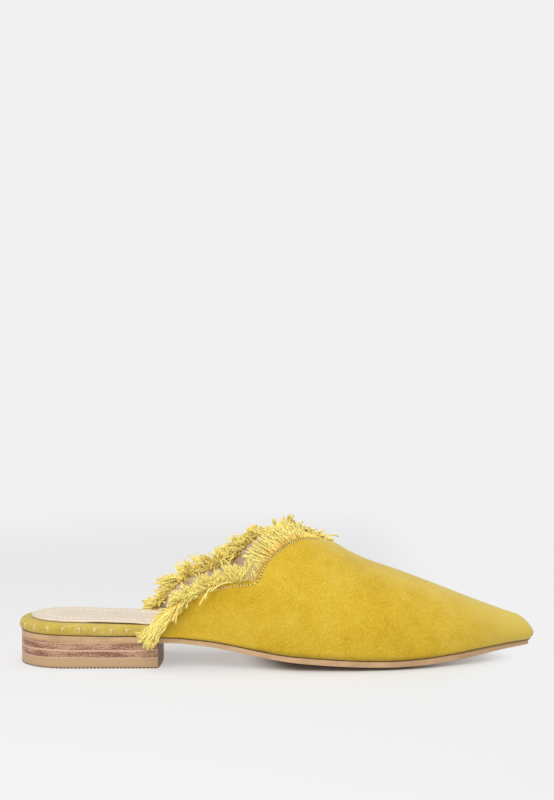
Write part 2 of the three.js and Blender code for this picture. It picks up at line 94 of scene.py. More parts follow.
def monotone_curve(x, y):
    """Smooth curve through a table that never overshoots its rows."""
    x = np.asarray(x, float)
    y = np.asarray(y, float)
    step = np.diff(x)
    slope = np.diff(y) / step
    before = 2 * step[1:] + step[:-1]
    after = step[1:] + 2 * step[:-1]
    rising = slope[:-1] * slope[1:] > 0
    safe = np.where(rising, slope[:-1], 1), np.where(rising, slope[1:], 1)
    inner = np.where(rising, (before + after) / (before / safe[0] + after / safe[1]), 0)
    tangent = np.concatenate([slope[:1], inner, slope[-1:]])

    def curve(at):
        at = np.asarray(at, float)
        i = np.clip(np.searchsorted(x, at, side="right") - 1, 0, len(step) - 1)
        t = (at - x[i]) / step[i]
        inside = (
            (2 * t**3 - 3 * t**2 + 1) * y[i]
            + (t**3 - 2 * t**2 + t) * step[i] * tangent[i]
            + (3 * t**2 - 2 * t**3) * y[i + 1]
            + (t**3 - t**2) * step[i] * tangent[i + 1]
        )
        before_start = y[0] + (at - x[0]) * tangent[0]
        after_end = y[-1] + (at - x[-1]) * tangent[-1]
        return np.where(at < x[0], before_start, np.where(at > x[-1], after_end, inside))

    return curve


def table_of(columns, rows):
    """One smooth curve over the first column for each other column."""
    values = np.array(rows, float)
    return {
        name: monotone_curve(values[:, 0], values[:, i + 1])
        for i, name in enumerate(columns.split()[1:])
    }


# Half widths of the feather edge either side of the heel's axis
PLAN = table_of("x lateral medial", [
    (27, 27.0, 27.0),
    (50, 27.0, 26.2),
    (73, 27.0, 24.2),
    (95, 28.5, 22.8),
    (110, 30.8, 23.4),
    (126, 34.0, 26.2),
    (148, 37.0, 33.0),
    (168, 37.4, 38.0),
    (187, 35.6, 38.4),
    (205, 31.2, 34.6),
    (225, 22.8, 27.0),
    (245, 12.0, 18.6),
    (257, 5.0, 13.3),
    (266.65, -0.09, 8.91),
])

# Heights along the sole: top of its edge, underside of its edge and the belly of the underside
SOLE = table_of("x top bottom belly", [
    (0, 17.3, HEEL_SEAT, 0),
    (20, 17.1, HEEL_SEAT, 0),
    (45, 16.5, HEEL_SEAT, 0),
    (74, 15.9, HEEL_SEAT, 0),
    (81, 15.75, HEEL_SEAT, 0),
    (95, 14.6, 12.1, 0.5),
    (109, 12.8, 10.1, 1.0),
    (124, 10.1, 7.3, 1.5),
    (138, 7.9, 5.0, 2.0),
    (152, 6.7, 3.6, 2.5),
    (167, 5.7, 2.6, 3.0),
    (184, 4.9, 1.8, 2.8),
    (196, 4.6, 1.5, 2.3),
    (212, 5.1, 1.8, 1.8),
    (225, 5.9, 2.6, 1.2),
    (238, 7.2, 4.0, 0.9),
    (252, 8.5, 5.7, 0.6),
    (269.3, 9.7, 7.3, 0.3),
])

# How far each layer's edge stands inside the feather edge, and how thick the footbed is
EDGE = table_of("x sole upper footbed sock bed", [
    (0, 0.7, -0.8, 0, 5.7, 6.0),
    (30, 0.7, -0.8, 0, 4.8, 5.9),
    (50, 0.6, -0.8, 0.1, 4.4, 5.8),
    (64, 0.1, -0.8, 1.15, 4.2, 5.6),
    (85, -0.1, -0.3, 1.75, 3.6, 5.2),
    (110, 0, 0, 2.05, 3.0, 4.7),
    (152, 0, 0, 2.1, 2.9, 4.0),
    (205, 0, 0, 2.1, 2.9, 3.4),
    (240, 0.4, 0, 2.1, 2.9, 3.0),
    (269.3, 0.8, 0, 2.1, 2.9, 2.6),
])

# Cross sections of the last: place and height of the crest, fan back towards the toe, swell of
# each side past the feather edge, and squareness
SECTION = table_of("x crest_y crest_z fan lateral medial square", [
    (60, 2.0, 112, 0, 1.2, 2.0, 2.4),
    (100, 2.5, 98, 0, 2.2, 4.0, 2.4),
    (125, 3.0, 86, 0, 2.4, 4.4, 2.35),
    (148, 3.2, 72, 0, 2.0, 3.4, 2.25),
    (165, 3.6, 61.6, 0, 1.6, 2.4, 2.2),
    (180, 4.2, 53.4, 0, 1.4, 1.8, 2.2),
    (199, 5.0, 46.5, 0, 1.2, 1.4, 2.2),
    (218, 5.4, 39.4, 0.6, 1.2, 1.2, 2.15),
    (238, 5.4, 31.6, 2.2, 1.3, 1.3, 2.15),
    (255, 5.0, 25.4, 5.0, 1.6, 1.6, 2.3),
    (269.3, 4.5, 20.8, 9.2, 2.1, 2.1, 2.9),
])

# Where the collar's edge cuts the section on each side, in degrees of rise from the feather edge
COLLAR = table_of("x lateral medial", [
    (65.6, 0.2, 0.5),
    (71.7, 0.4, 3.0),
    (75, 1.7, 5.0),
    (78, 4.1, 7.4),
    (82, 6.7, 9.9),
    (88, 10.3, 12.4),
    (96, 13.8, 15.2),
    (105, 17.2, 19.0),
    (113, 20.2, 24.2),
    (118, 22.0, 30.2),
    (123.4, 24.5, 37.2),
    (126.5, 31.5, 41.0),
    (130, 37.8, 45.2),
    (134, 44.2, 50.4),
    (140, 53.8, 58.0),
    (145, 61.5, 64.0),
    (151, 69.5, 70.4),
    (157, 77.8, 76.6),
])


def linear(red, green, blue):
    """Linear colour of a display colour from 0 to 255."""
    share = np.array([red, green, blue]) / 255
    low = share / 12.92
    high = ((share + 0.055) / 1.055) ** 2.4
    return tuple(float(value) for value in np.where(share <= 0.04045, low, high))


def run_along(line):
    """Length along a line of points, from 0 at the first."""
    return np.concatenate([[0], np.cumsum(np.linalg.norm(np.diff(line, axis=0), axis=1))])


def resample(line, run, at):
    """Points of a line at the given lengths along it."""
    return np.stack([np.interp(at, run, column) for column in line.T], -1)


def unit(vectors):
    return vectors / np.maximum(np.linalg.norm(vectors, axis=-1, keepdims=True), 1e-9)


def smooth_step(value, start, end):
    t = np.clip((np.asarray(value, float) - start) / (end - start), 0, 1)
    return t * t * (3 - 2 * t)


# Form of the last

def feather(station, side):
    """Points of the feather edge: heel arc 0 to 1, side 1 to 2, toe arc 2 to 3."""
    station = np.asarray(station, float)
    sign = SIDES[side]
    heel = np.clip(station, 0, 1) * math.pi / 2
    along = HEEL_RADIUS + (SIDE_END_X - HEEL_RADIUS) * (station - 1)
    toe = TOE_ARC_START + (math.pi / 2 - TOE_ARC_START) * (np.clip(station, 2, 3) - 2)
    x = np.select(
        [station <= 1, station <= 2],
        [HEEL_RADIUS * (1 - np.cos(heel)), along],
        LAST_LENGTH - TOE_RADIUS + TOE_RADIUS * np.sin(toe),
    )
    y = np.select(
        [station <= 1, station <= 2],
        [sign * HEEL_RADIUS * np.sin(heel), sign * PLAN[side](along)],
        TOE_CENTRE_Y + sign * TOE_RADIUS * np.cos(toe),
    )
    return np.stack([x, y], -1)


def station_at(x):
    return 1 + (np.asarray(x, float) - HEEL_RADIUS) / (SIDE_END_X - HEEL_RADIUS)


def feather_normal(station, side):
    """Outward normal of the feather edge in plan."""
    station = np.asarray(station, float)
    reach = 0.01
    before = feather(np.clip(station - reach, 0, 3), side)
    after = feather(np.clip(station + reach, 0, 3), side)
    tangent = unit(after - before)
    normal = SIDES[side] * np.stack([-tangent[..., 1], tangent[..., 0]], -1)
    normal = np.where((station <= 0)[..., None], (-1.0, 0.0), normal)
    return np.where((station >= 3)[..., None], (1.0, 0.0), normal)


def upper_points(station, rise, side):
    """Outside of the upper. Rise runs from 0 at the feather edge to a right angle at the crest."""
    station, rise = np.broadcast_arrays(np.asarray(station, float), np.asarray(rise, float))
    edge = feather(station, side)
    x = edge[..., 0]
    outward = feather_normal(station, side)
    foot = edge - outward * EDGE["upper"](x)[..., None]
    crest = np.stack([x - SECTION["fan"](x), SECTION["crest_y"](x)], -1)
    power = 2 / SECTION["square"](x)
    spread = np.maximum(0, np.cos(rise)) ** power
    height = np.sin(rise) ** power
    swell = SECTION[side](x) * SWELL_PEAK * height * (1 - height) ** 2
    plan = crest + (foot - crest) * spread[..., None] + outward * swell[..., None]
    low = SOLE["top"](foot[..., 0]) + GAP
    z = low + (SECTION["crest_z"](plan[..., 0]) - low) * height
    return np.concatenate([plan, z[..., None]], -1)


def collar_rise(station, side):
    """Rise of the collar's edge: the table as far as the tab, then a round throat."""
    x = feather(station, side)[..., 0]
    opening = math.pi / 2 - np.radians(COLLAR[side](TAB_X))
    left = np.clip((THROAT_X - x) / (THROAT_X - TAB_X), 0, 1)
    round_throat = math.pi / 2 - opening * np.sqrt(left)
    return np.where(x <= TAB_X, np.radians(COLLAR[side](np.minimum(x, TAB_X))), round_throat)


def even(start, end, count):
    return start + (end - start) * np.arange(count) / count


def upper_stations(side, steps):
    """Stations of the upper's ribs, for steps = (wing, ankle, tab, vamp, toe)."""
    wing, ankle, tab, vamp, toe = steps
    places = np.concatenate([
        even(REAR_X[side], NOTCH_X, wing),
        even(NOTCH_X, TAB_X, ankle),
        THROAT_X - even(1, 0, tab) ** 2 * (THROAT_X - TAB_X),
        even(THROAT_X, SIDE_END_X, vamp),
    ])
    return np.concatenate([station_at(places), 2 + np.arange(toe + 1) / toe])


def upper_face(steps, rises):
    """Outer face of the upper: vertices, quads, and vertex numbers by side, rib and rise."""
    throat = sum(steps[:3])
    vertices = []
    quads = []
    grids = {}
    for side in SIDES:
        stations = upper_stations(side, steps)
        shares = np.arange(rises + 1) / rises
        points = upper_points(stations[:, None], collar_rise(stations, side)[:, None] * shares, side)
        numbers = np.arange(points[..., 0].size).reshape(points.shape[:2])
        if side == "medial":
            numbers = numbers + grids["lateral"].size
            numbers[throat:, -1] = grids["lateral"][throat:, -1]
            numbers[-1] = grids["lateral"][-1]
        corners = [numbers[:-1, :-1], numbers[1:, :-1], numbers[1:, 1:], numbers[:-1, 1:]]
        ring = np.stack([corner.ravel() for corner in corners], -1)
        quads.append(ring if side == "lateral" else ring[:, ::-1])
        vertices.append(points.reshape(-1, 3))
        grids[side] = numbers
    return compact(np.concatenate(vertices), np.concatenate(quads), grids)


def compact(vertices, quads, grids):
    """Leaves out the vertices that no quad uses."""
    used = np.unique(quads)
    place = np.full(len(vertices), -1)
    place[used] = np.arange(len(used))
    return vertices[used], place[quads], {side: place[grid] for side, grid in grids.items()}


def vertex_normals(vertices, quads):
    a, b, c, d = (vertices[quads[:, k]] for k in range(4))
    facing = np.cross(c - a, d - b)
    normals = np.zeros_like(vertices)
    for k in range(4):
        np.add.at(normals, quads[:, k], facing)
    return unit(normals)


def thicken(vertices, quads, normals, outer, inner):
    """Closed shell between two offsets of a face."""
    count = len(vertices)
    edges = np.concatenate([np.stack([quads[:, k], quads[:, (k + 1) % 4]], -1) for k in range(4)])
    keys = edges[:, 0] * count + edges[:, 1]
    back = edges[:, 1] * count + edges[:, 0]
    rim = edges[~np.isin(keys, back)]
    wall = np.stack([rim[:, 1], rim[:, 0], rim[:, 0] + count, rim[:, 1] + count], -1)
    outer_face = vertices + normals * outer
    inner_face = vertices - normals * inner
    faces = np.concatenate([quads, quads[:, ::-1] + count, wall])
    return np.concatenate([outer_face, inner_face]), faces


# Meshes

def add_piece(name, vertices, faces, material, slot, replaced, values=None):
    """Makes one piece from points in millimetres. It rides on the body and stands for a node."""
    place = (np.asarray(vertices, float) - (HEEL_RADIUS, 0, 0)) * MM
    mesh = bpy.data.meshes.new(name)
    mesh.from_pydata(place.tolist(), [], [[int(corner) for corner in face] for face in faces])
    for key, data in (values or {}).items():
        data = np.asarray(data, np.float32)
        kind = "FLOAT_VECTOR" if data.ndim == 2 else "FLOAT"
        attribute = mesh.attributes.new(key, kind, "POINT")
        attribute.data.foreach_set("vector" if data.ndim == 2 else "value", data.ravel())
    mesh.shade_smooth()
    mesh.materials.append(material)
    piece = bpy.data.objects.new(name, mesh)
    bpy.context.scene.collection.objects.link(piece)
    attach(piece, BODY)
    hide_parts(replaced)
    return piece


def weld(piece, distance=2e-7, sharp=None):
    """Joins vertices in one place and drops the faces that fall shut."""
    work = bmesh.new()
    work.from_mesh(piece.data)
    bmesh.ops.remove_doubles(work, verts=work.verts, dist=distance)
    bmesh.ops.dissolve_degenerate(work, edges=work.edges, dist=distance)
    bmesh.ops.recalc_face_normals(work, faces=work.faces)
    work.to_mesh(piece.data)
    work.free()
    if sharp is not None:
        piece.data.set_sharp_from_angle(angle=sharp)


def rings_to_quads(rows, columns, start=0):
    """Quads over rows of closed rings."""
    i, k = np.meshgrid(np.arange(rows - 1), np.arange(columns), indexing="ij")
    after = (k + 1) % columns
    corners = [i * columns + k, (i + 1) * columns + k, (i + 1) * columns + after, i * columns + after]
    return start + np.stack([corner.ravel() for corner in corners], -1)


def tubes(centres, radii, sides=4):
    """Vertices and quads of many round tubes with closed ends."""
    tangent = unit(np.gradient(centres, axis=1))
    chord = unit(centres[:, -1] - centres[:, 0])
    helper = np.eye(3)[np.argmin(np.abs(chord), axis=1)][:, None]
    across = unit(np.cross(tangent, helper))
    other = np.cross(tangent, across)
    angle = np.arange(sides) * 2 * math.pi / sides
    turn = np.cos(angle)[:, None] * across[:, :, None] + np.sin(angle)[:, None] * other[:, :, None]
    points = centres[:, :, None] + radii[..., None, None] * turn
    count, steps = centres.shape[:2]
    ids = np.arange(count * steps * sides).reshape(count, steps, sides)
    after = np.roll(ids, -1, axis=2)
    around = np.stack([ids[:, :-1], after[:, :-1], after[:, 1:], ids[:, 1:]], -1).reshape(-1, 4)
    ends = np.concatenate([ids[:, 0, ::-1], ids[:, -1]])
    return points.reshape(-1, 3), np.concatenate([around, ends])


def beads(places, along, normal, length, width, height):
    """Small stitches: rounded grains that lie along a seam."""
    rows, columns = 5, 6
    share = np.linspace(-1, 1, rows)
    girth = np.sqrt(np.maximum(0, 1 - (0.93 * share) ** 2))
    angle = np.arange(columns) * 2 * math.pi / columns
    across = unit(np.cross(along, normal))
    outward = np.cross(across, along)
    points = (
        places[:, None, None]
        + along[:, None, None] * (share * length / 2)[None, :, None, None]
        + across[:, None, None] * (girth[:, None] * np.cos(angle) * width / 2)[None, :, :, None]
        + outward[:, None, None] * (girth[:, None] * np.sin(angle) * height / 2)[None, :, :, None]
    )
    ids = np.arange(len(places) * rows * columns).reshape(len(places), rows, columns)
    after = np.roll(ids, -1, axis=2)
    around = np.stack([ids[:, :-1], after[:, :-1], after[:, 1:], ids[:, 1:]], -1).reshape(-1, 4)
    faces = [tuple(face) for face in around.tolist()]
    faces += [tuple(ring) for ring in ids[:, 0, ::-1].tolist()]
    faces += [tuple(ring) for ring in ids[:, -1].tolist()]
    return points.reshape(-1, 3), faces


# Materials

class Finish:
    """One material and short calls that add its nodes."""

    def __init__(self, name):
        self.material = bpy.data.materials.new(name)
        self.material.use_nodes = True
        self.tree = self.material.node_tree
        self.shader = self.tree.nodes["Principled BSDF"]

    def put(self, socket, value):
        if isinstance(value, bpy.types.NodeSocket):
            self.tree.links.new(value, socket)
        elif socket.type == "RGBA" and len(value) == 3:
            socket.default_value = (*value, 1)
        else:
            socket.default_value = value

    def node(self, kind, inputs, **settings):
        node = self.tree.nodes.new(kind)
        for name, value in settings.items():
            setattr(node, name, value)
        for key, value in inputs.items():
            self.put(node.inputs[key], value)
        return node

    def place(self):
        return self.node("ShaderNodeTexCoord", {}).outputs["Object"]

    def value(self, name):
        return self.node("ShaderNodeAttribute", {}, attribute_name=name).outputs["Fac"]

    def vector(self, name):
        return self.node("ShaderNodeAttribute", {}, attribute_name=name).outputs["Vector"]

    def stretch(self, vector, scale):
        return self.node("ShaderNodeVectorMath", {0: vector, 1: scale}, operation="MULTIPLY").outputs[0]

    def noise(self, vector, scale, detail=3.0, roughness=0.55):
        inputs = {"Vector": vector, "Scale": scale, "Detail": detail, "Roughness": roughness}
        return self.node("ShaderNodeTexNoise", inputs).outputs["Fac"]

    def math(self, operation, a, b=0.0):
        return self.node("ShaderNodeMath", {0: a, 1: b}, operation=operation).outputs[0]

    def weighted(self, *terms):
        """Sum of (source, weight) pairs, each source taken about a half."""
        total = 0.5
        for source, weight in terms:
            part = self.math("MULTIPLY", self.math("SUBTRACT", source, 0.5), weight)
            total = self.math("ADD", part, total)
        return total

    def span(self, source, low, high):
        inputs = {"Value": source, "From Min": low, "From Max": high}
        return self.node("ShaderNodeMapRange", inputs, interpolation_type="SMOOTHSTEP").outputs[0]

    def mix(self, share, first, second, blend="MIX"):
        inputs = {0: share, 6: first, 7: second}
        return self.node("ShaderNodeMix", inputs, data_type="RGBA", blend_type=blend).outputs[2]

    def bump(self, height, strength, distance, below=None):
        inputs = {"Height": height, "Strength": strength, "Distance": distance}
        if below is not None:
            inputs["Normal"] = below
        return self.node("ShaderNodeBump", inputs).outputs["Normal"]

    def surface(self, colour, roughness, normal=None, **constants):
        self.put(self.shader.inputs["Base Color"], colour)
        self.put(self.shader.inputs["Roughness"], roughness)
        if normal is not None:
            self.put(self.shader.inputs["Normal"], normal)
        for name, value in constants.items():
            self.put(self.shader.inputs[name.replace("_", " ")], value)
        return self.material


def suede_finish(name, middle, shade, light, painted_sheen_colour=None):
    """Brushed suede: cloudy colour, a soft mottle and a short nap, with a painted sheen that makes the
    toe and the upward-facing ridge paler.
    """
    finish = Finish(name)
    place = finish.place()
    cloud = finish.noise(place, 34, 2)
    mottle = finish.noise(place, 950, 2, 0.6)
    nap = finish.noise(place, 2400, 2, 0.7)
    blotch = finish.noise(place, 150, 2)
    tone = finish.weighted((cloud, 0.6), (blotch, 0.4), (mottle, 0.8), (nap, 0.85))
    dark_side = finish.mix(finish.span(tone, 0.2, 0.55), shade, middle)
    colour = finish.mix(finish.span(tone, 0.5, 0.85), dark_side, light)
    if painted_sheen_colour is not None:
        # Painted sheen: the "brushed" attribute mixes in the paler colour at the toe and the ridge as a
        # highlight.
        brushed = finish.weighted((finish.value("brushed"), 1.0), (cloud, 0.5), (nap, 0.4))
        colour = finish.mix(finish.span(brushed, 0.0, 1.0), colour, painted_sheen_colour)
    height = finish.weighted((mottle, 0.5), (nap, 1.0))
    normal = finish.bump(height, 0.35, 0.0004)
    return finish.surface(
        colour, 0.95, normal,
        Specular_IOR_Level=0.15, Sheen_Weight=0.6, Sheen_Roughness=0.42,
        Sheen_Tint=(1.0, 0.98, 0.62),
    )


def leather_finish(name, colour, dark, grain=1500.0, roughness=0.5, bump=0.12):
    """Smooth lining leather with a fine grain and a little wear."""
    finish = Finish(name)
    place = finish.place()
    cloud = finish.noise(place, 60, 3)
    grained = finish.noise(place, grain, 3, 0.6)
    tone = finish.weighted((cloud, 0.45), (grained, 0.5))
    shown = finish.mix(finish.span(tone, 0.15, 0.6), dark, colour)
    normal = finish.bump(grained, bump, 0.0002)
    return finish.surface(shown, roughness, normal, Specular_IOR_Level=0.35)


def thread_finish(name, light, deep, root):
    """Cotton thread: each thread has its own tone, and painted shade deepens it from its middle towards
    its root, darkest in the seam.
    """
    finish = Finish(name)
    tone = finish.value("tone")
    along = finish.value("along")
    fine = finish.noise(finish.place(), 2600, 2)
    # Painted shade: the lower half of each thread is mixed towards the deep colour, which is partly the
    # threads' own tone and partly painted shade.
    lit = finish.weighted((tone, 0.75), (finish.span(along, 0.0, 0.5), 0.5), (fine, 0.4))
    free = finish.mix(finish.span(lit, 0.15, 0.8), deep, light)
    # Painted shade: near the seam, where "free" is low, the thread takes the root colour.
    colour = finish.mix(finish.value("free"), root, free)
    normal = finish.bump(fine, 0.25, 0.0002)
    return finish.surface(
        colour, 0.85, normal, Specular_IOR_Level=0.2, Sheen_Weight=0.3, Sheen_Roughness=0.4,
    )


def plain_thread_finish(name, light, deep):
    finish = Finish(name)
    fine = finish.noise(finish.place(), 1800, 3)
    colour = finish.mix(finish.span(fine, 0.3, 0.7), deep, light)
    return finish.surface(colour, 0.8, finish.bump(fine, 0.3, 0.0002), Specular_IOR_Level=0.2)


def sole_finish(name, edge, dark, under, stained):
    """Waxed sole edge with fine strokes along it, and a plain leather underside."""
    finish = Finish(name)
    place = finish.place()
    strokes = finish.noise(finish.stretch(place, (90, 90, 1600)), 1, 3, 0.6)
    cloud = finish.noise(place, 70, 3)
    fine = finish.noise(place, 1700, 3, 0.6)
    tone = finish.weighted((strokes, 0.35), (cloud, 0.5), (fine, 0.35))
    waxed = finish.mix(finish.span(tone, 0.2, 0.75), dark, edge)
    specks = finish.weighted((finish.value("stain"), 0.7), (fine, 1.5), (cloud, 0.5))
    side = finish.mix(finish.span(specks, 0.62, 0.95), waxed, stained)
    below = finish.mix(finish.span(tone, 0.25, 0.75), dark, under)
    colour = finish.mix(finish.value("under"), side, below)
    normal = finish.bump(finish.weighted((strokes, 0.4), (fine, 0.6)), 0.15, 0.0002)
    return finish.surface(colour, 0.5, normal, Specular_IOR_Level=0.35)


def lift_finish(name, pale, brown, burnt, burn, breast):
    """Stacked leather: pale at its joints, grainy and burnt between them, with painted shade on the
    forward-facing breast.
    """
    finish = Finish(name)
    wrap = finish.vector("wrap")
    streak = finish.noise(finish.stretch(wrap, (0.05, 0.9, 1)), 1.0, 3, 0.6)
    patch = finish.noise(finish.stretch(wrap, (0.07, 0.2, 1)), 1.0, 2, 0.5)
    speck = finish.noise(finish.stretch(wrap, (1.1, 1.5, 1)), 1.0, 2, 0.7)
    tone = finish.weighted((streak, 0.6), (patch, 1.3), (speck, 2.2))
    worn = finish.mix(finish.span(tone, 0.25, 0.75), burnt, brown)
    band = finish.math("MULTIPLY", finish.value("band"), burn)
    edge = finish.weighted((band, 1.5), (streak, -0.5), (speck, -0.4))
    side = finish.mix(finish.span(edge, 0.3, 0.75), pale, worn)
    # Painted shade: the forward-facing breast takes the dark colour.
    colour = finish.mix(finish.value("breast"), side, breast)
    normal = finish.bump(finish.weighted((speck, 0.6), (streak, 0.5)), 0.2, 0.0002)
    return finish.surface(colour, 0.48, normal, Specular_IOR_Level=0.35)


def rubber_finish(name, colour, dark, pale):
    """Rubber of the tread, with the top lift's colour between its teeth."""
    finish = Finish(name)
    place = finish.place()
    cloud = finish.noise(place, 110, 3)
    fine = finish.noise(place, 1900, 3, 0.65)
    tone = finish.weighted((cloud, 0.8), (fine, 0.7))
    rubber = finish.mix(finish.span(tone, 0.2, 0.7), dark, colour)
    shown = finish.mix(finish.span(finish.value("pale"), 0.35, 0.5), rubber, pale)
    return finish.surface(shown, 0.6, finish.bump(fine, 0.15, 0.0002), Specular_IOR_Level=0.3)


# Settings

def colour_setting(name, description, display):
    return bpy.props.FloatVectorProperty(
        name=name, description=description, default=linear(*display), size=3,
        subtype="COLOR", min=0.0, max=1.0,
    )


class SlipperSuede(bpy.types.PropertyGroup):
    middle: colour_setting("Suede", "Main colour of the suede", (216, 178, 48))
    shade: colour_setting("Suede shade", "Colour where the nap lies dark", (197, 158, 32))
    light: colour_setting("Suede light", "Colour where the nap is brushed light", (226, 194, 80))
    lining: colour_setting("Lining", "Colour of the lining leather", (222, 200, 172))
    # Colour of the painted sheen on the toe and the ridge
    painted_sheen_colour: colour_setting("Painted suede sheen", "Colour of the toe and the ridge", (220, 195, 98))
    stitch: colour_setting("Stitches", "Colour of the sewing thread", (252, 240, 176))


class SlipperFringe(bpy.types.PropertyGroup):
    light: colour_setting("Thread", "Colour of the palest threads", (255, 240, 142))
    # The deep colour is partly the threads' own tone and partly painted shade; the root colour is
    # painted shade in the seam.
    deep: colour_setting("Deep thread", "Colour of the deepest threads", (242, 200, 82))
    root: colour_setting("Thread root shade", "Colour of the threads in the seam", (190, 150, 54))
    diameter: bpy.props.FloatProperty(
        name="Thread diameter", description="Diameter of one frayed thread",
        default=0.9 * MM, min=0.0002, max=0.002, precision=5, unit="LENGTH",
    )
    fullness: bpy.props.FloatProperty(
        name="Fullness", description="Share of the threads that are made",
        default=1.0, min=0.2, max=1.5,
    )
    seed: bpy.props.IntProperty(
        name="Seed", description="Start of the repeatable scatter", default=7, min=0,
    )


class SlipperSole(bpy.types.PropertyGroup):
    edge: colour_setting("Sole edge", "Colour of the waxed edge of the sole", (219, 182, 140))
    under: colour_setting("Underside", "Colour of the leather under the sole", (182, 150, 109))
    sock: colour_setting("Insole", "Colour of the insole leather", (233, 218, 197))
    pale: colour_setting("Lift joint", "Colour of the stacked leather at its joints", (222, 188, 158))
    brown: colour_setting("Lift", "Colour of the stacked leather", (199, 157, 127))
    burnt: colour_setting("Burnish", "Colour of the burnt streaks", (131, 86, 66))
    top_lift: colour_setting("Top lift", "Colour of the top lift", (195, 161, 122))
    # Dark colour painted as shade on the heel's forward-facing front
    breast: colour_setting("Breast shade", "Colour of the heel's front face", (128, 98, 74))
    tread: colour_setting("Tread", "Colour of the tread rubber", (78, 64, 52))


class SlipperStage(bpy.types.PropertyGroup):
    paper: colour_setting("Paper", "Colour of the floor and the background", (241, 241, 241))
    key_power: bpy.props.FloatProperty(
        name="Key light", description="Power of the large light above the camera",
        default=17.0, min=0.0, max=500.0, unit="POWER",
    )
    top_power: bpy.props.FloatProperty(
        name="Top light", description="Power of the large light overhead",
        default=7.5, min=0.0, max=500.0, unit="POWER",
    )
    sky: bpy.props.FloatProperty(
        name="Room light", description="Strength of the even light all round",
        default=0.38, min=0.0, max=5.0,
    )


# Upper

FINE_STEPS = (56, 42, 12, 74, 10)
FINE_RISES = 30
LINING_STEPS = (28, 24, 10, 34, 8)
LINING_RISES = 14

# Soft dents of the suede: place, rise in degrees, half length, half width, slant in degrees from
# the vertical, and depth
DENTS = (
    ("lateral", 126, 14, 11, 5.0, 10, 0.55),
    ("lateral", 150, 30, 14, 6.0, -30, 0.35),
    ("lateral", 205, 24, 16, 6.0, 35, 0.45),
    ("lateral", 228, 40, 9, 4.0, 50, 0.3),
    ("medial", 128, 18, 12, 6.0, 10, 0.6),
    ("medial", 200, 28, 16, 7.0, 30, 0.5),
)
MM_PER_DEGREE = 0.62

# Painted sheen: the suede is painted paler along the toe, and along the ridge where the face looks up,
# as a highlight would fall there
PAINTED_SHEEN_TOE = (215.0, 262.0)
PAINTED_SHEEN_RIDGE = (150.0, 190.0)
PAINTED_SHEEN_RISE = (0.35, 0.9)
TOE_SHEEN_SHARE = 0.6
RIDGE_SHEEN_SHARE = 0.32


def dent_depth(vertices, grids, ribs):
    """How far each vertex of the upper lies under its smooth form."""
    depth = np.zeros(len(vertices))
    for side, x, rise, half_length, half_width, slant, deep in DENTS:
        stations = upper_stations(side, ribs[0])
        shares = np.arange(ribs[1] + 1) / ribs[1]
        rises = np.degrees(collar_rise(stations, side)[:, None] * shares)
        places = feather(stations, side)[:, :1] + 0 * rises
        right = places - x
        up = (rises - rise) * MM_PER_DEGREE
        angle = math.radians(slant)
        along = (up * math.cos(angle) + right * math.sin(angle)) / half_length
        across = (right * math.cos(angle) - up * math.sin(angle)) / half_width
        depth[grids[side]] += deep * np.exp(-along**2 - across**2)
    return depth


class SLIPPER_OT_upper(bpy.types.Operator):
    """Suede upper and its lining, open at the collar and underneath"""

    bl_idname = "slipper.upper"
    bl_label = "Upper"

    def execute(self, context):
        settings = context.scene.slipper_suede
        suede = suede_finish(
            "suede", settings.middle, settings.shade, settings.light, settings.painted_sheen_colour,
        )
        lining = leather_finish("lining leather", settings.lining, linear(197, 177, 151))
        vertices, quads, grids = upper_face(FINE_STEPS, FINE_RISES)
        normals = vertex_normals(vertices, quads)
        depth = dent_depth(vertices, grids, (FINE_STEPS, FINE_RISES))
        # Painted sheen: paler towards the toe and where the face looks up along the ridge, kept in the
        # attribute "brushed".
        toe = smooth_step(vertices[:, 0], *PAINTED_SHEEN_TOE)
        ridge = smooth_step(normals[:, 2], *PAINTED_SHEEN_RISE) * smooth_step(vertices[:, 0], *PAINTED_SHEEN_RIDGE)
        brushed = np.clip(TOE_SHEEN_SHARE * toe + RIDGE_SHEEN_SHARE * ridge, 0, 1)
        vertices = vertices - normals * depth[:, None]
        skin, faces = thicken(vertices, quads, normals, 0, SUEDE_THICKNESS)
        add_piece(
            "upper_suede", skin, faces, suede, "suede", "upper", {"brushed": np.tile(brushed, 2)},
        )
        vertices, quads, _ = upper_face(LINING_STEPS, LINING_RISES)
        normals = vertex_normals(vertices, quads)
        skin, faces = thicken(vertices, quads, normals, -SUEDE_THICKNESS - 0.02, WALL)
        add_piece("upper_lining", skin, faces, lining, "sock_leather", "upper")
        return {"FINISHED"}


# Collar

def collar_path():
    """Places along the collar's edge from the lateral end over the throat to the medial end."""
    vertices, quads, grids = upper_face(FINE_STEPS, FINE_RISES)
    normals = vertex_normals(vertices, quads)
    throat = sum(FINE_STEPS[:3])
    rim = np.concatenate([grids["lateral"][1:throat + 1, -1], grids["medial"][1:throat, -1][::-1]])
    place = vertices[rim]
    outward = normals[rim]
    along = unit(np.gradient(place, axis=0))
    outward = unit(outward - along * np.sum(outward * along, axis=1, keepdims=True))
    up = np.cross(outward, along)
    distance = run_along(place)
    side = np.concatenate([np.zeros(throat), np.ones(throat - 1)])
    return {"place": place, "outward": outward, "along": along, "up": up,
            "distance": distance, "side": side}


def on_path(path, distance):
    """The path's values at some distances along it."""
    picked = {}
    for key in ("place", "outward", "along", "up"):
        columns = [np.interp(distance, path["distance"], path[key][:, k]) for k in range(3)]
        value = np.stack(columns, -1)
        picked[key] = value if key == "place" else unit(value)
    picked["medial"] = np.interp(distance, path["distance"], path["side"]) > 0.5
    return picked


STITCH_DROP = 1.8
STITCH_PITCH = 1.65
STITCH_SIZE = (1.1, 0.9, 0.8)
# Size of the dark beads painted as the shade in the needle holes between the stitches.
HOLE_SHADE_SIZE = (0.5, 0.62, 0.24)


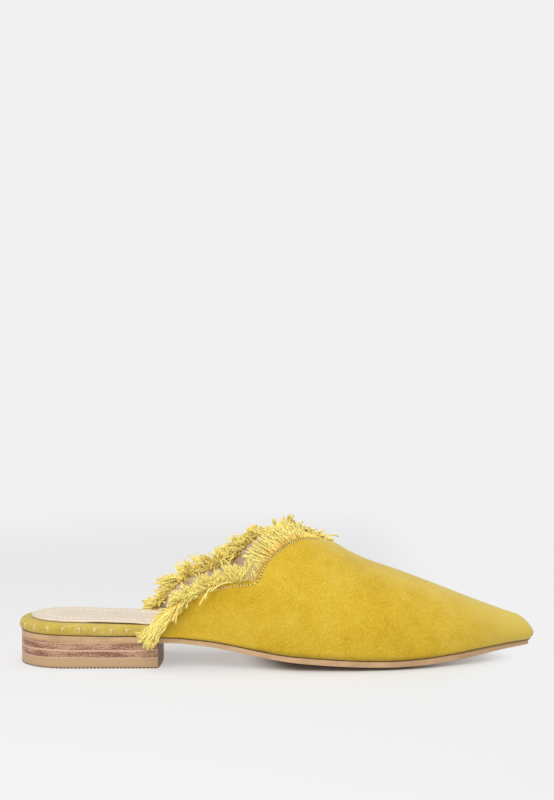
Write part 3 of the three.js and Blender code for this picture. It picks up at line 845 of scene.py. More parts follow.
class SLIPPER_OT_collar_stitches(bpy.types.Operator):
    """Row of pale stitches just under the collar's edge, with painted shade in the needle holes between
    them
    """

    bl_idname = "slipper.collar_stitches"
    bl_label = "Collar stitches"

    def execute(self, context):
        settings = context.scene.slipper_suede
        thread = plain_thread_finish("sewing thread", settings.stitch, linear(213, 195, 114))
        path = collar_path()
        count = int(path["distance"][-1] / STITCH_PITCH)
        # Painted shade: flush dark beads at the half pitch stand for the shade in the needle holes.
        holes = plain_thread_finish("needle hole shade", linear(148, 113, 23), linear(122, 89, 16))
        for name, shift, size, material, slot in (
            ("collar_stitches", 0.5, STITCH_SIZE, thread, "thread"),
            ("collar_hole_shade", 1.0, HOLE_SHADE_SIZE, holes, "suede"),
        ):
            spot = on_path(path, (np.arange(count) + shift) * path["distance"][-1] / count)
            place = spot["place"] - spot["up"] * STITCH_DROP
            keep = place[:, 2] > SOLE["top"](place[:, 0]) + 1.5
            points, faces = beads(place[keep], spot["along"][keep], spot["outward"][keep], *size)
            add_piece(name, points, faces, material, slot, "upper")
        return {"FINISHED"}


# Fringe

# Rows of tufts along the collar. Each row has its side, the places where it starts and ends,
# the spacing of its tufts, the threads in a tuft, how far the threads start over the edge
# rather than in the seam, and a table: shares of the first direction up out of the collar, out
# of the shoe and back towards the heel, then how much the threads sink, how loose they are, and
# their length.
FRINGE_COLUMNS = "x up outward rearward sink loose length"
FRINGE_ROWS = (
    ("lateral", 74, 121.5, 1.6, 7, 0.0, table_of(FRINGE_COLUMNS, [
        (74, 0.40, 0.10, 1.0, 0.10, 0.7, 6.5),
        (82, 0.80, 0.15, 0.8, 0.05, 0.7, 7.2),
        (90, 1.0, 0.15, 0.45, 0.02, 0.7, 6.8),
        (98, 1.0, 0.10, 0.15, 0.0, 0.7, 6.9),
        (107, 1.0, 0.15, 0.10, 0.0, 0.7, 6.7),
        (115, 1.0, 0.20, 0.15, 0.0, 0.6, 8.2),
        (121.5, 1.0, 0.20, 0.25, 0.0, 0.4, 9.6),
    ])),
    ("lateral", 84, 121, 1.7, 7, 0.0, table_of(FRINGE_COLUMNS, [
        (84, 0.30, 0.9, 0.70, 0.55, 0.9, 5.5),
        (92, 0.50, 0.9, 0.40, 0.45, 1.0, 6.2),
        (99, 0.80, 0.7, 0.25, 0.25, 1.0, 5.8),
        (106, 1.0, 0.55, 0.20, 0.10, 0.9, 5.6),
        (121, 1.0, 0.50, 0.25, 0.05, 0.8, 5.6),
    ])),
    ("lateral", 120.5, 128, 1.15, 1, 0.5, table_of(FRINGE_COLUMNS, [
        (120.5, 1.0, 0.1, 0.15, 0.0, 0.05, 12.0),
        (122.3, 1.0, 0.1, -0.20, 0.0, 0.05, 11.5),
        (123.6, 1.0, 0.1, -0.55, 0.0, 0.05, 11.5),
        (125.0, 1.0, 0.1, -0.60, 0.0, 0.05, 9.0),
        (126.5, 1.0, 0.1, -0.30, 0.0, 0.05, 8.5),
        (128, 1.0, 0.1, 0.25, 0.0, 0.05, 10.0),
    ])),
    ("lateral", 127.5, 153, 1.1, 1, 1.0, table_of(FRINGE_COLUMNS, [
        (127.5, 1.0, 0.12, 0.30, 0.0, 0.12, 12.0),
        (140, 1.0, 0.12, 0.30, 0.0, 0.18, 11.8),
        (147, 1.0, 0.10, 0.28, 0.0, 0.25, 10.2),
        (153, 1.0, -0.2, 0.3, 0.0, 0.3, 6.4),
    ])),
    ("lateral", 128, 156, 0.85, 1, 1.0, table_of(FRINGE_COLUMNS, [
        (128, 1.0, 0.0, 0.15, 0.0, 0.22, 11.0),
        (140, 1.0, 0.05, 0.12, 0.0, 0.28, 12.5),
        (148, 1.0, 0.05, 0.0, 0.0, 0.3, 8.8),
        (156, 1.0, -0.5, 0.0, 0.1, 0.5, 4.0),
    ])),
    ("lateral", 129, 163.2, 0.8, 1, 0.3, table_of(FRINGE_COLUMNS, [
        (129, 1.0, -0.10, 0.50, 0.0, 0.25, 10.0),
        (142, 1.0, -0.05, 0.55, 0.0, 0.3, 10.6),
        (150, 1.0, -0.4, 0.4, 0.1, 0.5, 6.0),
        (163.2, 0.7, -0.9, 0.0, 0.2, 0.5, 3.4),
    ])),
    ("medial", 66.5, 126, 1.45, 8, 0.0, table_of(FRINGE_COLUMNS, [
        (66.5, 0.5, 0.2, 1.0, 0.0, 0.6, 7.0),
        (75, 0.9, 0.2, 0.6, 0.0, 0.7, 7.0),
        (88, 1.0, 0.15, 0.30, 0.0, 0.7, 7.3),
        (100, 1.0, 0.20, 0.20, 0.0, 0.7, 8.4),
        (110, 1.0, 0.35, 0.20, 0.0, 0.7, 8.6),
        (118, 1.0, 0.6, 0.20, 0.0, 0.6, 7.4),
        (126, 1.0, 0.7, 0.2, 0.0, 0.6, 5.0),
    ])),
    ("medial", 67, 126, 1.5, 8, 0.0, table_of(FRINGE_COLUMNS, [
        (67, 0.5, -0.2, 1.0, 0.1, 0.8, 6.0),
        (80, 1.0, -0.35, 0.35, 0.1, 0.9, 6.2),
        (105, 1.0, -0.3, 0.20, 0.1, 0.9, 6.4),
        (118, 1.0, 0.1, 0.20, 0.05, 0.9, 6.6),
        (126, 1.0, 0.3, 0.2, 0.0, 0.8, 6.0),
    ])),
    ("medial", 126, 163.2, 1.5, 5, 0.0, table_of(FRINGE_COLUMNS, [
        (126, 1.0, 0.4, 0.2, 0.0, 0.6, 5.0),
        (134, 1.0, 0.2, 0.2, 0.0, 0.5, 4.2),
        (140, 1.0, 0.3, 0.1, 0.0, 0.6, 5.0),
        (143.5, 1.0, 0.9, 0.1, 0.0, 0.5, 6.0),
        (148, 1.0, 0.1, 0.0, 0.1, 0.5, 4.2),
        (163.2, 0.7, -0.6, 0.0, 0.2, 0.5, 3.2),
    ])),
    ("medial", 146, 163, 1.6, 2, 0.0, table_of(FRINGE_COLUMNS, [
        (146, 0.4, 0.35, -1.0, 0.0, 0.35, 6.4),
        (156, 0.1, 0.30, -1.0, 0.05, 0.35, 6.0),
        (163, 0.1, 0.25, -1.0, 0.1, 0.35, 4.0),
    ])),
)
# How far loose threads stray, as shares of their length: a tuft's lean, a thread's own lean, the
# tuft's bend, the thread's own bend, its wave, and the spread of the lengths
STRAY = {"tuft": 0.22, "thread": 0.15, "tuft_bend": 0.30, "bend": 0.22, "wave": 0.085, "length": 0.10}
STRAIGHT_STRAY = 0.03
THREAD_POINTS = 9
PLY_TURNS_PER_MM = 0.42
TAPE_HEIGHT = 0.3
TAPE_WIDTH = 0.7
# Lengths along a thread, in millimetres, where the painted shade at its root begins and ends fading out.
ROOT_SHADE_REACH = (0.5, 2.0)

# The loose tuft that hangs from the rear of the lateral collar: its middle line, half width and
# half thickness, and the places of its tips
TUFT_START = (79.0, 95.0)
TUFT_MIDDLE = ((80.0, -33.0, 30.0), (73.8, -34.0, 24.2), (70.0, -33.5, 18.0))
TUFT_ACROSS = (-0.8, 0.0, 0.6)
TUFT_HALF_WIDTH = 2.3
TUFT_HALF_DEPTH = 1.1
TUFT_WAVE = 0.75
TUFT_TIPS = (
    (63.3, -32.0, 18.2), (65.0, -33.0, 15.6), (66.8, -33.5, 13.0), (68.2, -33.0, 11.8),
    (69.9, -32.5, 12.2), (72.0, -32.0, 13.8),
)
TUFT_THREADS = 10

# Single threads that stray from the rest: place on the collar, side and place of the tip
STRAY_THREADS = (
    ("lateral", 103.0, (94.9, -36.0, 34.2)),
    ("lateral", 101.5, (98.0, -36.0, 37.4)),
    ("lateral", 112.0, (100.4, -35.5, 41.2)),
    ("lateral", 111.0, (101.6, -36.0, 42.0)),
    ("lateral", 92.0, (88.2, -35.5, 32.6)),
    ("lateral", 86.5, (82.8, -35.0, 24.6)),
    ("lateral", 87.5, (81.5, -35.0, 25.6)),
    ("lateral", 96.0, (90.0, -35.0, 36.2)),
    ("lateral", 160.5, (167.6, 2.6, 64.6)),
    ("medial", 80.0, (72.6, 31.0, 33.0)),
    ("medial", 96.0, (86.8, 31.5, 47.5)),
)


def twisted(centres, diameter, tone, root_shaded):
    """Two plies wound round each centre line: vertices, quads and values for the finish."""
    steps = centres.shape[1]
    length = np.linalg.norm(np.diff(centres, axis=1), axis=2)
    run = np.concatenate([np.zeros((len(centres), 1)), np.cumsum(length, axis=1)], axis=1)
    tangent = unit(np.gradient(centres, axis=1))
    chord = unit(centres[:, -1] - centres[:, 0])
    helper = np.eye(3)[np.argmin(np.abs(chord), axis=1)][:, None]
    across = unit(np.cross(tangent, helper))
    other = np.cross(tangent, across)
    open_end = 1 + 0.9 * smooth_step(np.linspace(0, 1, steps), 0.8, 1)
    plies = []
    for start in (0, math.pi):
        angle = (run * PLY_TURNS_PER_MM * 2 * math.pi + start + tone[:, None] * 6)[..., None]
        swing = (np.cos(angle) * across + np.sin(angle) * other) * open_end[None, :, None]
        plies.append(centres + swing * diameter * 0.24)
    lines = np.concatenate(plies)
    taper = np.where(np.arange(steps) == steps - 1, 0.6, 1.0)
    radii = np.ones(lines.shape[:2]) * diameter * 0.31 * taper
    points, quads = tubes(lines, radii)
    along = np.broadcast_to(np.linspace(0, 1, steps)[None, :, None], (len(lines), steps, 4))
    tones = np.broadcast_to(np.concatenate([tone, tone])[:, None, None], along.shape)
    # Painted shade: threads that start in the seam take the root colour at first, fading out along their
    # first millimetres.
    free = 1 - root_shaded * (1 - smooth_step(run, *ROOT_SHADE_REACH))
    free = np.broadcast_to(np.concatenate([free, free])[..., None], along.shape)
    return points, quads, {"along": along.ravel(), "tone": tones.ravel(), "free": free.ravel()}


def distance_at(path, side, x):
    """Distance along the collar to some places x on one side."""
    chosen = np.flatnonzero((path["side"] > 0.5) == (side == "medial"))
    order = chosen[np.argsort(path["place"][chosen, 0])]
    return np.interp(x, path["place"][order, 0], path["distance"][order])


def row_threads(path, row, fullness, scatter):
    """Centre lines and tones of one row's threads, gathered in tufts."""
    side, first, last, pitch, threads, over, table = row
    start, end = distance_at(path, side, [first, last])
    tufts = max(1, round(abs(end - start) / pitch * (fullness if threads == 1 else 1)))
    threads = 1 if threads == 1 else max(1, round(threads * fullness))
    middle = start + (end - start) * (np.arange(tufts) + scatter.uniform(0.2, 0.8, tufts)) / tufts
    tuft = np.repeat(np.arange(tufts), threads)
    count = len(tuft)
    distance = middle[tuft] + scatter.uniform(-0.5, 0.5, count) * (pitch if threads > 1 else 0.2)
    spot = on_path(path, distance)
    x = on_path(path, middle)["place"][tuft, 0]
    look = {name: curve(x) for name, curve in table.items()}
    loose = look["loose"][:, None]
    gathered = {key: scatter.normal(0, 1, (tufts, 3))[tuft] for key in ("lean", "bend")}
    rearward = spot["along"] * (1 if side == "medial" else -1)
    direction = unit(
        spot["up"] * look["up"][:, None]
        + spot["outward"] * look["outward"][:, None]
        + rearward * look["rearward"][:, None]
        + gathered["lean"] * STRAY["tuft"] * loose
        + scatter.normal(0, 1, (count, 3)) * (STRAIGHT_STRAY + STRAY["thread"] * loose)
    )
    spread = STRAIGHT_STRAY + STRAY["length"] * look["loose"]
    longer = scatter.uniform(-1.6, 1.4, count) + scatter.uniform(-1, 1, tufts)[tuft]
    length = look["length"] * (1 + spread * longer)
    bend = (
        gathered["bend"] * STRAY["tuft_bend"] * loose
        + scatter.normal(0, 1, (count, 3)) * (STRAIGHT_STRAY + STRAY["bend"] * loose)
    )
    share = np.linspace(0, 1, THREAD_POINTS)
    wave = scatter.normal(0, 1, (count, 3))[:, None] * np.sin(
        2 * math.pi * (scatter.uniform(0.8, 1.9, count)[:, None] * share)
    )[..., None]
    depth = WALL / 2 * (1 - 1.5 * over) + scatter.uniform(-0.4, 0.4, count) * (1 - over)
    base = spot["place"] - spot["outward"] * depth[:, None] - spot["up"] * (0.6 + 0.8 * over)
    reach = length[:, None, None]
    lines = base[:, None] + reach * (
        direction[:, None] * share[None, :, None]
        + bend[:, None] * (share**2)[None, :, None]
        + wave * STRAY["wave"] * loose[:, None]
    )
    lines[..., 2] -= (look["sink"] * length)[:, None] * share**2
    tone = 0.5 * scatter.uniform(0, 1, tufts)[tuft] + 0.5 * scatter.uniform(0, 1, count)
    return lines, tone, 1 - over


def bezier(controls, steps):
    """Smooth lines from rows of control points."""
    share = np.linspace(0, 1, steps)
    degree = controls.shape[1] - 1
    weights = np.stack([
        math.comb(degree, k) * share**k * (1 - share) ** (degree - k) for k in range(degree + 1)
    ])
    return np.einsum("ks,nkd->nsd", weights, controls)


def hanging_tuft(path, scatter):
    """Threads of the loose tuft, in strands that part towards their tips."""
    strands = np.repeat(np.arange(len(TUFT_TIPS)), TUFT_THREADS)
    count = len(strands)
    place = strands / (len(TUFT_TIPS) - 1) * 2 - 1
    sideways = -place * TUFT_HALF_WIDTH + scatter.normal(0, 0.4, count)
    depth = scatter.uniform(-1, 1, count) * TUFT_HALF_DEPTH
    spot = on_path(path, distance_at(path, "lateral", scatter.uniform(*TUFT_START, count)))
    base = spot["place"] - spot["outward"] * WALL / 2 - spot["up"] * 0.6
    offset = sideways[:, None] * np.array(TUFT_ACROSS) + depth[:, None] * (0.0, 1.0, 0.0)
    middle = [np.array(point) + offset for point in TUFT_MIDDLE]
    tips = np.array(TUFT_TIPS)[strands] + scatter.normal(0, 0.6, (count, 3))
    controls = np.stack([base, *middle, tips], axis=1)
    lines = bezier(controls, 2 * THREAD_POINTS)
    share = np.linspace(0, 1, 2 * THREAD_POINTS)
    turns = scatter.uniform(1.5, 3.5, count)[:, None] * share + scatter.uniform(0, 1, count)[:, None]
    way = scatter.normal(0, TUFT_WAVE, (count, 3))
    lines = lines + way[:, None] * (np.sin(2 * math.pi * turns) * np.sqrt(share))[..., None]
    tone = 0.5 * scatter.uniform(0, 1, len(TUFT_TIPS))[strands] + 0.5 * scatter.uniform(0, 1, count)
    return lines, tone, 0


def stray_threads(path, scatter):
    """Single threads that bow from the collar to their tips."""
    controls = []
    for side, x, tip in STRAY_THREADS:
        spot = on_path(path, distance_at(path, side, [x]))
        base = (spot["place"] - spot["outward"] * WALL / 2 - spot["up"] * 0.6)[0]
        rise = spot["outward"][0] * 2.2 + spot["up"][0] * 2.4
        controls.append([base, base + rise, (base + tip) / 2 + rise, tip])
    lines = bezier(np.array(controls), 2 * THREAD_POINTS)
    return lines, scatter.uniform(0.6, 1, len(lines))


class SLIPPER_OT_fringe(bpy.types.Operator):
    """Woven tape in the collar seam and the frayed threads that stand out of it"""

    bl_idname = "slipper.fringe"
    bl_label = "Fringe"

    def execute(self, context):
        settings = context.scene.slipper_fringe
        thread = thread_finish("cotton thread", settings.light, settings.deep, settings.root)
        path = collar_path()
        scatter = np.random.default_rng(settings.seed)
        made = {"lateral": [], "medial": []}
        for row in FRINGE_ROWS:
            made[row[0]].append(row_threads(path, row, settings.fullness, scatter))
        made["lateral"].append(hanging_tuft(path, scatter))
        strays = stray_threads(path, scatter)
        for side in SIDES:
            chosen = [k for k, stray in enumerate(STRAY_THREADS) if stray[0] == side]
            made[side].append((strays[0][chosen], strays[1][chosen], 0))
        for side, groups in made.items():
            self.add_threads(f"fringe_{side}", groups, thread, settings.diameter / MM)
        self.add_tape(path, thread)
        return {"FINISHED"}

    def add_threads(self, name, groups, thread, diameter):
        points = []
        quads = []
        values = {"along": [], "tone": [], "free": []}
        start = 0
        for lines, tone, root_shaded in groups:
            part, faces, looks = twisted(lines, diameter, tone, root_shaded)
            points.append(part)
            quads.append(faces + start)
            start += len(part)
            for key in values:
                values[key].append(looks[key])
        joined = {key: np.concatenate(parts) for key, parts in values.items()}
        add_piece(
            name, np.concatenate(points), np.concatenate(quads), thread, "thread", "fringe", joined,
        )

    def add_tape(self, path, thread):
        centre = path["place"] - path["outward"] * WALL / 2
        corners = ((-0.5, -0.3), (0.5, -0.3), (0.5, 1), (-0.5, 1))
        rings = np.stack([
            centre
            + path["outward"] * across * TAPE_WIDTH
            + path["up"] * up * TAPE_HEIGHT
            for across, up in corners
        ], axis=1)
        quads = rings_to_quads(len(rings), 4)[:, ::-1]
        ends = [[0, 1, 2, 3], [len(rings) * 4 - k for k in (1, 2, 3, 4)]]
        # Painted shade: the tape takes the root colour, as the shade in the seam under the fringe.
        along = np.tile([0.0, 0.0, 0.1, 0.1], len(rings))
        values = {"along": along, "tone": np.full(len(along), 0.2), "free": along}
        faces = np.concatenate([quads, ends])
        piece = add_piece("fringe_tape", rings.reshape(-1, 3), faces, thread, "thread", "fringe", values)
        weld(piece, sharp=math.radians(40))


# Layers of the sole

def layer_mesh(stations, edge_inset, profile, across, top_at, bottom_at, wave=None):
    """Layer that follows the last, with a profile of (inset, level) steps from below to above."""
    insets, levels = (np.array(column, float) for column in zip(*profile))
    sides = {}
    for side in SIDES:
        edge = feather(stations, side)
        inset = edge_inset(edge[:, 0])[:, None] + insets[None]
        if wave is not None:
            inset = inset - wave(stations, side)[:, None] * np.sin(np.clip(levels, 0, 1) * math.pi)
        plan = edge[:, None] - feather_normal(stations, side)[:, None] * inset[..., None]
        sign = np.full(plan.shape[:2], float(SIDES[side]))
        low = bottom_at(plan[..., 0], sign)
        high = top_at(plan[..., 0], sign)
        sides[side] = np.concatenate([plan, (low + (high - low) * levels)[..., None]], -1)

    def between(start, end, height_at):
        points = start[:, None] + (end - start)[:, None] * across[None, :, None]
        points[..., 2] = height_at(points[..., 0], 2 * across[None] - 1 + 0 * points[..., 0])
        return points

    top = between(sides["lateral"][:, -1], sides["medial"][:, -1], top_at)
    bottom = between(sides["lateral"][:, 0], sides["medial"][:, 0], bottom_at)[:, ::-1]
    rings = np.concatenate([sides["lateral"], top, sides["medial"][:, ::-1], bottom], axis=1)
    faces = rings_to_quads(*rings.shape[:2])
    return rings, faces


def full_stations(heel, side, toe):
    return np.concatenate([even(0, 1, heel), even(1, 2, side), even(2, 3, toe), [3]])


def round_edge(low, high, thickness, steps=4):
    """Profile with a rounded lower and upper corner of the given radii."""
    profile = []
    for k in range(steps + 1):
        angle = math.pi / 2 * k / steps
        profile.append((low * (1 - math.sin(angle)), low * (1 - math.cos(angle)) / thickness))
    for k in range(steps + 1):
        angle = math.pi / 2 * k / steps
        profile.append((high * (1 - math.cos(angle)), 1 - high * (1 - math.sin(angle)) / thickness))
    return profile


ACROSS_SOLE = np.array([0.02, 0.08, 0.18, 0.3, 0.4, 0.5, 0.6, 0.7, 0.82, 0.92, 0.98])
STAIN_HEIGHT = 3.4
STAIN_REACH = (18.0, 46.0)
FEATHER_START = 70.0
FEATHER_OUT = 0.12
JOINT_IN = 0.3
JOINT_OUT = 0.05
FEATHER_RISE = 0.2
FEATHER_PITCH = 0.85
FEATHER_SIZE = (0.66, 0.46, 0.46)


class SLIPPER_OT_outsole(bpy.types.Operator):
    """Thin leather sole with a waxed edge"""

    bl_idname = "slipper.outsole"
    bl_label = "Outsole"

    def execute(self, context):
        settings = context.scene.slipper_sole
        leather = sole_finish(
            "sole leather", settings.edge, linear(175, 138, 97), settings.under, settings.burnt,
        )

        def underside(x, share):
            return np.maximum(0, SOLE["bottom"](x) - SOLE["belly"](x) * (1 - share * share))

        rings, faces = layer_mesh(
            full_stations(20, 130, 10), EDGE["sole"], round_edge(0.35, 0.25, 3.0),
            ACROSS_SOLE, lambda x, share: SOLE["top"](x), underside,
        )
        under = np.zeros(rings.shape[:2])
        under[:, -len(ACROSS_SOLE):] = 1
        height = (rings[..., 2] - SOLE["bottom"](rings[..., 0])) / STAIN_HEIGHT
        stain = np.clip(1 - height, 0, 1) * (1 - smooth_step(rings[..., 0], *STAIN_REACH))
        piece = add_piece(
            "outsole_leather", rings.reshape(-1, 3), faces, leather, "sole_leather", "outsole",
            {"under": under.ravel(), "stain": (stain * (1 - under)).ravel()},
        )
        weld(piece, sharp=math.radians(50))
        self.add_feather_stitches()
        return {"FINISHED"}

    def add_feather_stitches(self):
        """Fine dark stitches in the joint between the sole and what stands on it; their darkness is
        partly the thread's own colour and partly painted shade of the gap.
        """
        thread = plain_thread_finish("feather thread and joint shade", linear(104, 78, 40), linear(76, 56, 28))
        places = []
        along = []
        for side in SIDES:
            stations = np.linspace(0, 3, 1800)
            edge = feather(stations, side)
            x = edge[:, 0]
            wrapped = np.maximum(EDGE["footbed"](x) + JOINT_IN, EDGE["sole"](x) - JOINT_OUT)
            inset = np.where(x < FEATHER_START, wrapped, EDGE["upper"](x) - FEATHER_OUT)
            line = edge - feather_normal(stations, side) * inset[:, None]
            line = np.concatenate([line, SOLE["top"](line[:, :1]) + FEATHER_RISE], axis=1)
            run = run_along(line)
            at = (np.arange(int(run[-1] / FEATHER_PITCH)) + 0.5) * FEATHER_PITCH
            spot = resample(line, run, at)
            ahead = resample(line, run, at + 0.2)
            places.append(spot)
            along.append(unit(ahead - spot))
        places = np.concatenate(places)
        up = np.broadcast_to((0.0, 0.0, 1.0), places.shape)
        points, faces = beads(places, np.concatenate(along), up, *FEATHER_SIZE)
        add_piece("feather_stitches", points, faces, thread, "thread", "outsole")


# Edge of the wrapped board from below to above: inset in millimetres and share of its height.
FOOTBED_PROFILE = [
    (1.2, 0.0), (0.55, 0.06), (0.15, 0.18), (0, 0.36), (0.05, 0.52), (0.3, 0.68),
    (0.8, 0.82), (1.6, 0.93), (2.6, 0.985), (4.0, 1.0),
]
PLEATS = 62
WRAP_PITCH = 8.3
WRAP_END = 74.0
WRAP_THREAD = 0.38
# Strokes of a wrap stitch: share of the edge's height from and to, and lean along the edge.
WRAP_STROKES = ((0.22, 0.72, 0.25), (0.42, 0.7, -0.9))


def pleat(stations, side):
    """Puckers of the wrapped suede round the heel, in millimetres."""
    heel = 1 - smooth_step(stations, 0.9, 1.15)
    phase = stations * PLEATS + (0 if side == "lateral" else 1.3)
    uneven = 0.5 + 0.5 * np.sin(stations * 9.7 + 1)
    return heel * (0.14 + 0.24 * uneven) * (2 * np.abs(np.sin(phase / 2)) - 1)


class SLIPPER_OT_footbed(bpy.types.Operator):
    """Insole board wrapped in suede, with pale stitches over its edge"""

    bl_idname = "slipper.footbed"
    bl_label = "Footbed"

    def execute(self, context):
        settings = context.scene.slipper_suede
        suede = suede_finish(
            "wrapped suede", linear(200, 173, 81), linear(180, 152, 57), linear(209, 188, 113),
        )

        def bottom(x, share):
            return SOLE["top"](x) + GAP / 3

        def top(x, share):
            return SOLE["top"](x) + GAP + EDGE["bed"](x)

        rings, faces = layer_mesh(
            full_stations(110, 90, 6), EDGE["footbed"], FOOTBED_PROFILE,
            np.array([0.1, 0.5, 0.9]), top, bottom, wave=pleat,
        )
        piece = add_piece(
            "footbed_suede", rings.reshape(-1, 3), faces, suede, "suede", "footbed",
        )
        weld(piece)
        self.add_stitches(settings)
        return {"FINISHED"}

    def add_stitches(self, settings):
        thread = plain_thread_finish("wrap stitches", settings.stitch, linear(189, 168, 106))
        strokes = []
        for side in SIDES:
            stations = np.linspace(0, station_at(WRAP_END), 600)
            edge = feather(stations, side)
            inset = EDGE["footbed"](edge[:, 0])[:, None]
            edge = edge - feather_normal(stations, side) * inset
            run = run_along(edge)
            for k in range(int(run[-1] / WRAP_PITCH)):
                at = (k + 0.8) * WRAP_PITCH + 0.8 * math.sin(3.1 * k)
                strokes += self.stitch(side, float(np.interp(at, run, stations)), k)
        lines = np.array(strokes)
        points, quads = tubes(lines, np.full(lines.shape[:2], WRAP_THREAD))
        add_piece("footbed_stitches", points, quads, thread, "thread", "footbed")

    def stitch(self, side, station, k):
        """Two crossing strokes of thread over the rounded edge."""
        x = float(feather(np.array([station]), side)[0, 0])
        turn = 1 if k % 2 else -1
        base = SOLE["top"](x) + GAP
        bed = EDGE["bed"](x)
        insets, levels = zip(*FOOTBED_PROFILE)
        made = []
        for low, high, lean in WRAP_STROKES:
            line = []
            for share in np.linspace(0, 1, 5):
                level = low + (high - low) * share
                bulge = 0.2 + 0.14 * math.sin(share * math.pi)
                away = np.interp(level, levels, insets)
                place = station + turn * lean * (share - 0.3) * 1.6 / 240 * (1 if station > 1 else 5.6)
                spot = feather(np.array([place]), side)[0]
                out = feather_normal(np.array([place]), side)[0]
                inset = EDGE["footbed"](spot[0]) + away - bulge
                line.append([*(spot - out * inset), float(base + bed * level)])
            made.append(line)
        return made


INSOLE_STITCH_INSET = 8.5
INSOLE_STITCH_PITCH = 3.3
INSOLE_STITCH_SIZE = (2.1, 0.85, 0.5)
INSOLE_STITCH_END = 150.0
SOCK_RISE = 0.45
SOCK_RISE_START = (34, 42)
SOCK_RISE_END = (60, 68)


class SLIPPER_OT_insole(bpy.types.Operator):
    """Smooth insole leather with a row of fine stitches inside its edge"""

    bl_idname = "slipper.insole"
    bl_label = "Insole"

    def execute(self, context):
        settings = context.scene.slipper_sole
        leather = leather_finish(
            "insole leather", settings.sock, linear(218, 203, 182), 1300, 0.45, 0.08,
        )

        def bottom(x, share):
            return SOLE["top"](x) + 2 * GAP + EDGE["bed"](x) + self.lift(x, share)

        def top(x, share):
            return bottom(x, share) + SOCK_THICKNESS

        rings, faces = layer_mesh(
            full_stations(30, 90, 6), EDGE["sock"], round_edge(0.15, 0.4, SOCK_THICKNESS, 3),
            ACROSS_SOLE, top, bottom,
        )
        piece = add_piece(
            "insole_leather", rings.reshape(-1, 3), faces, leather, "sock_leather", "insole",
        )
        weld(piece, sharp=math.radians(60))
        self.add_stitches(top)
        return {"FINISHED"}

    def lift(self, x, share):
        """The outer edge stands a little off the wrapped suede behind the collar."""
        place = smooth_step(x, *SOCK_RISE_START) * (1 - smooth_step(x, *SOCK_RISE_END))
        return SOCK_RISE * place * smooth_step(-share, 0.6, 1.0)

    def add_stitches(self, top):
        thread = plain_thread_finish("insole thread", linear(252, 245, 233), linear(246, 236, 220))
        places = []
        along = []
        for side in SIDES:
            stations = np.linspace(0, station_at(INSOLE_STITCH_END), 800)
            inset = EDGE["sock"](feather(stations, side)[:, 0])[:, None] + INSOLE_STITCH_INSET
            line = feather(stations, side) - feather_normal(stations, side) * inset
            run = run_along(line)
            at = (np.arange(int(run[-1] / INSOLE_STITCH_PITCH)) + 0.5) * INSOLE_STITCH_PITCH
            spot = resample(line, run, at)
            ahead = resample(line, run, at + 0.2)
            flat = np.zeros(len(at))
            z = top(spot[:, 0], flat)
            slope = top(ahead[:, 0], flat) - z
            places.append(np.concatenate([spot, z[:, None]], -1))
            along.append(unit(np.concatenate([ahead - spot, slope[:, None]], -1)))
        places = np.concatenate(places)
        along = np.concatenate(along)
        normal = np.broadcast_to((0.0, 0.0, 1.0), places.shape)
        points, faces = beads(places, along, normal, *INSOLE_STITCH_SIZE)
        add_piece("insole_stitches", points, faces, thread, "thread", "insole")


# Stacked heel

CORNER_RADIUS = 1.4
BREAST_SHADE_TURN = (0.8, 0.97)
JOINT_WAVE = 0.28
CAP_INSET = 3.0
TOOTH_PITCH = 1.95
# Where a tooth's groove and land begin and end, as shares of the pitch.
TOOTH_TURNS = (0.0, 0.46, 0.54, 0.92)
TOOTH_DEPTH = 0.2
TREAD_INNER = 0.02
TREAD_CORE = 0.93


def heel_outline():
    """Outline of the heel in plan, counted in millimetres round it."""
    radius = HEEL_RADIUS - HEEL_INSET
    arc = np.linspace(math.pi / 2, 3 * math.pi / 2, 73)
    back = np.stack([HEEL_RADIUS + radius * np.cos(arc), radius * np.sin(arc)], -1)
    front_y = HEEL_FRONT_HALF_WIDTH - CORNER_RADIUS
    side_x = even(HEEL_RADIUS, BREAST_X - CORNER_RADIUS, 40)[1:]
    spread = HEEL_FRONT_HALF_WIDTH - radius
    side_y = radius + spread * (side_x - HEEL_RADIUS) / (BREAST_X - HEEL_RADIUS)
    turn = np.linspace(-math.pi / 2, 0, 7)
    corner = np.stack([
        BREAST_X - CORNER_RADIUS + CORNER_RADIUS * np.cos(turn),
        -front_y + CORNER_RADIUS * np.sin(turn),
    ], -1)
    across = np.linspace(-front_y, front_y, 23)[1:-1]
    swell = BREAST_SWELL * (1 - (across / front_y) ** 2)
    breast = np.stack([BREAST_X + swell, across], -1)
    return np.concatenate([
        back,
        np.stack([side_x, -side_y], -1),
        corner,
        breast,
        (corner * (1, -1))[::-1],
        np.stack([side_x, side_y], -1)[::-1],
    ])


def joint_wave(run, salt):
    """Small rise and fall of a joint between two lifts."""
    return JOINT_WAVE * (
        np.sin(run * 0.09 + salt) + 0.6 * np.sin(run * 0.23 + 2.1 * salt)
    ) / 1.6


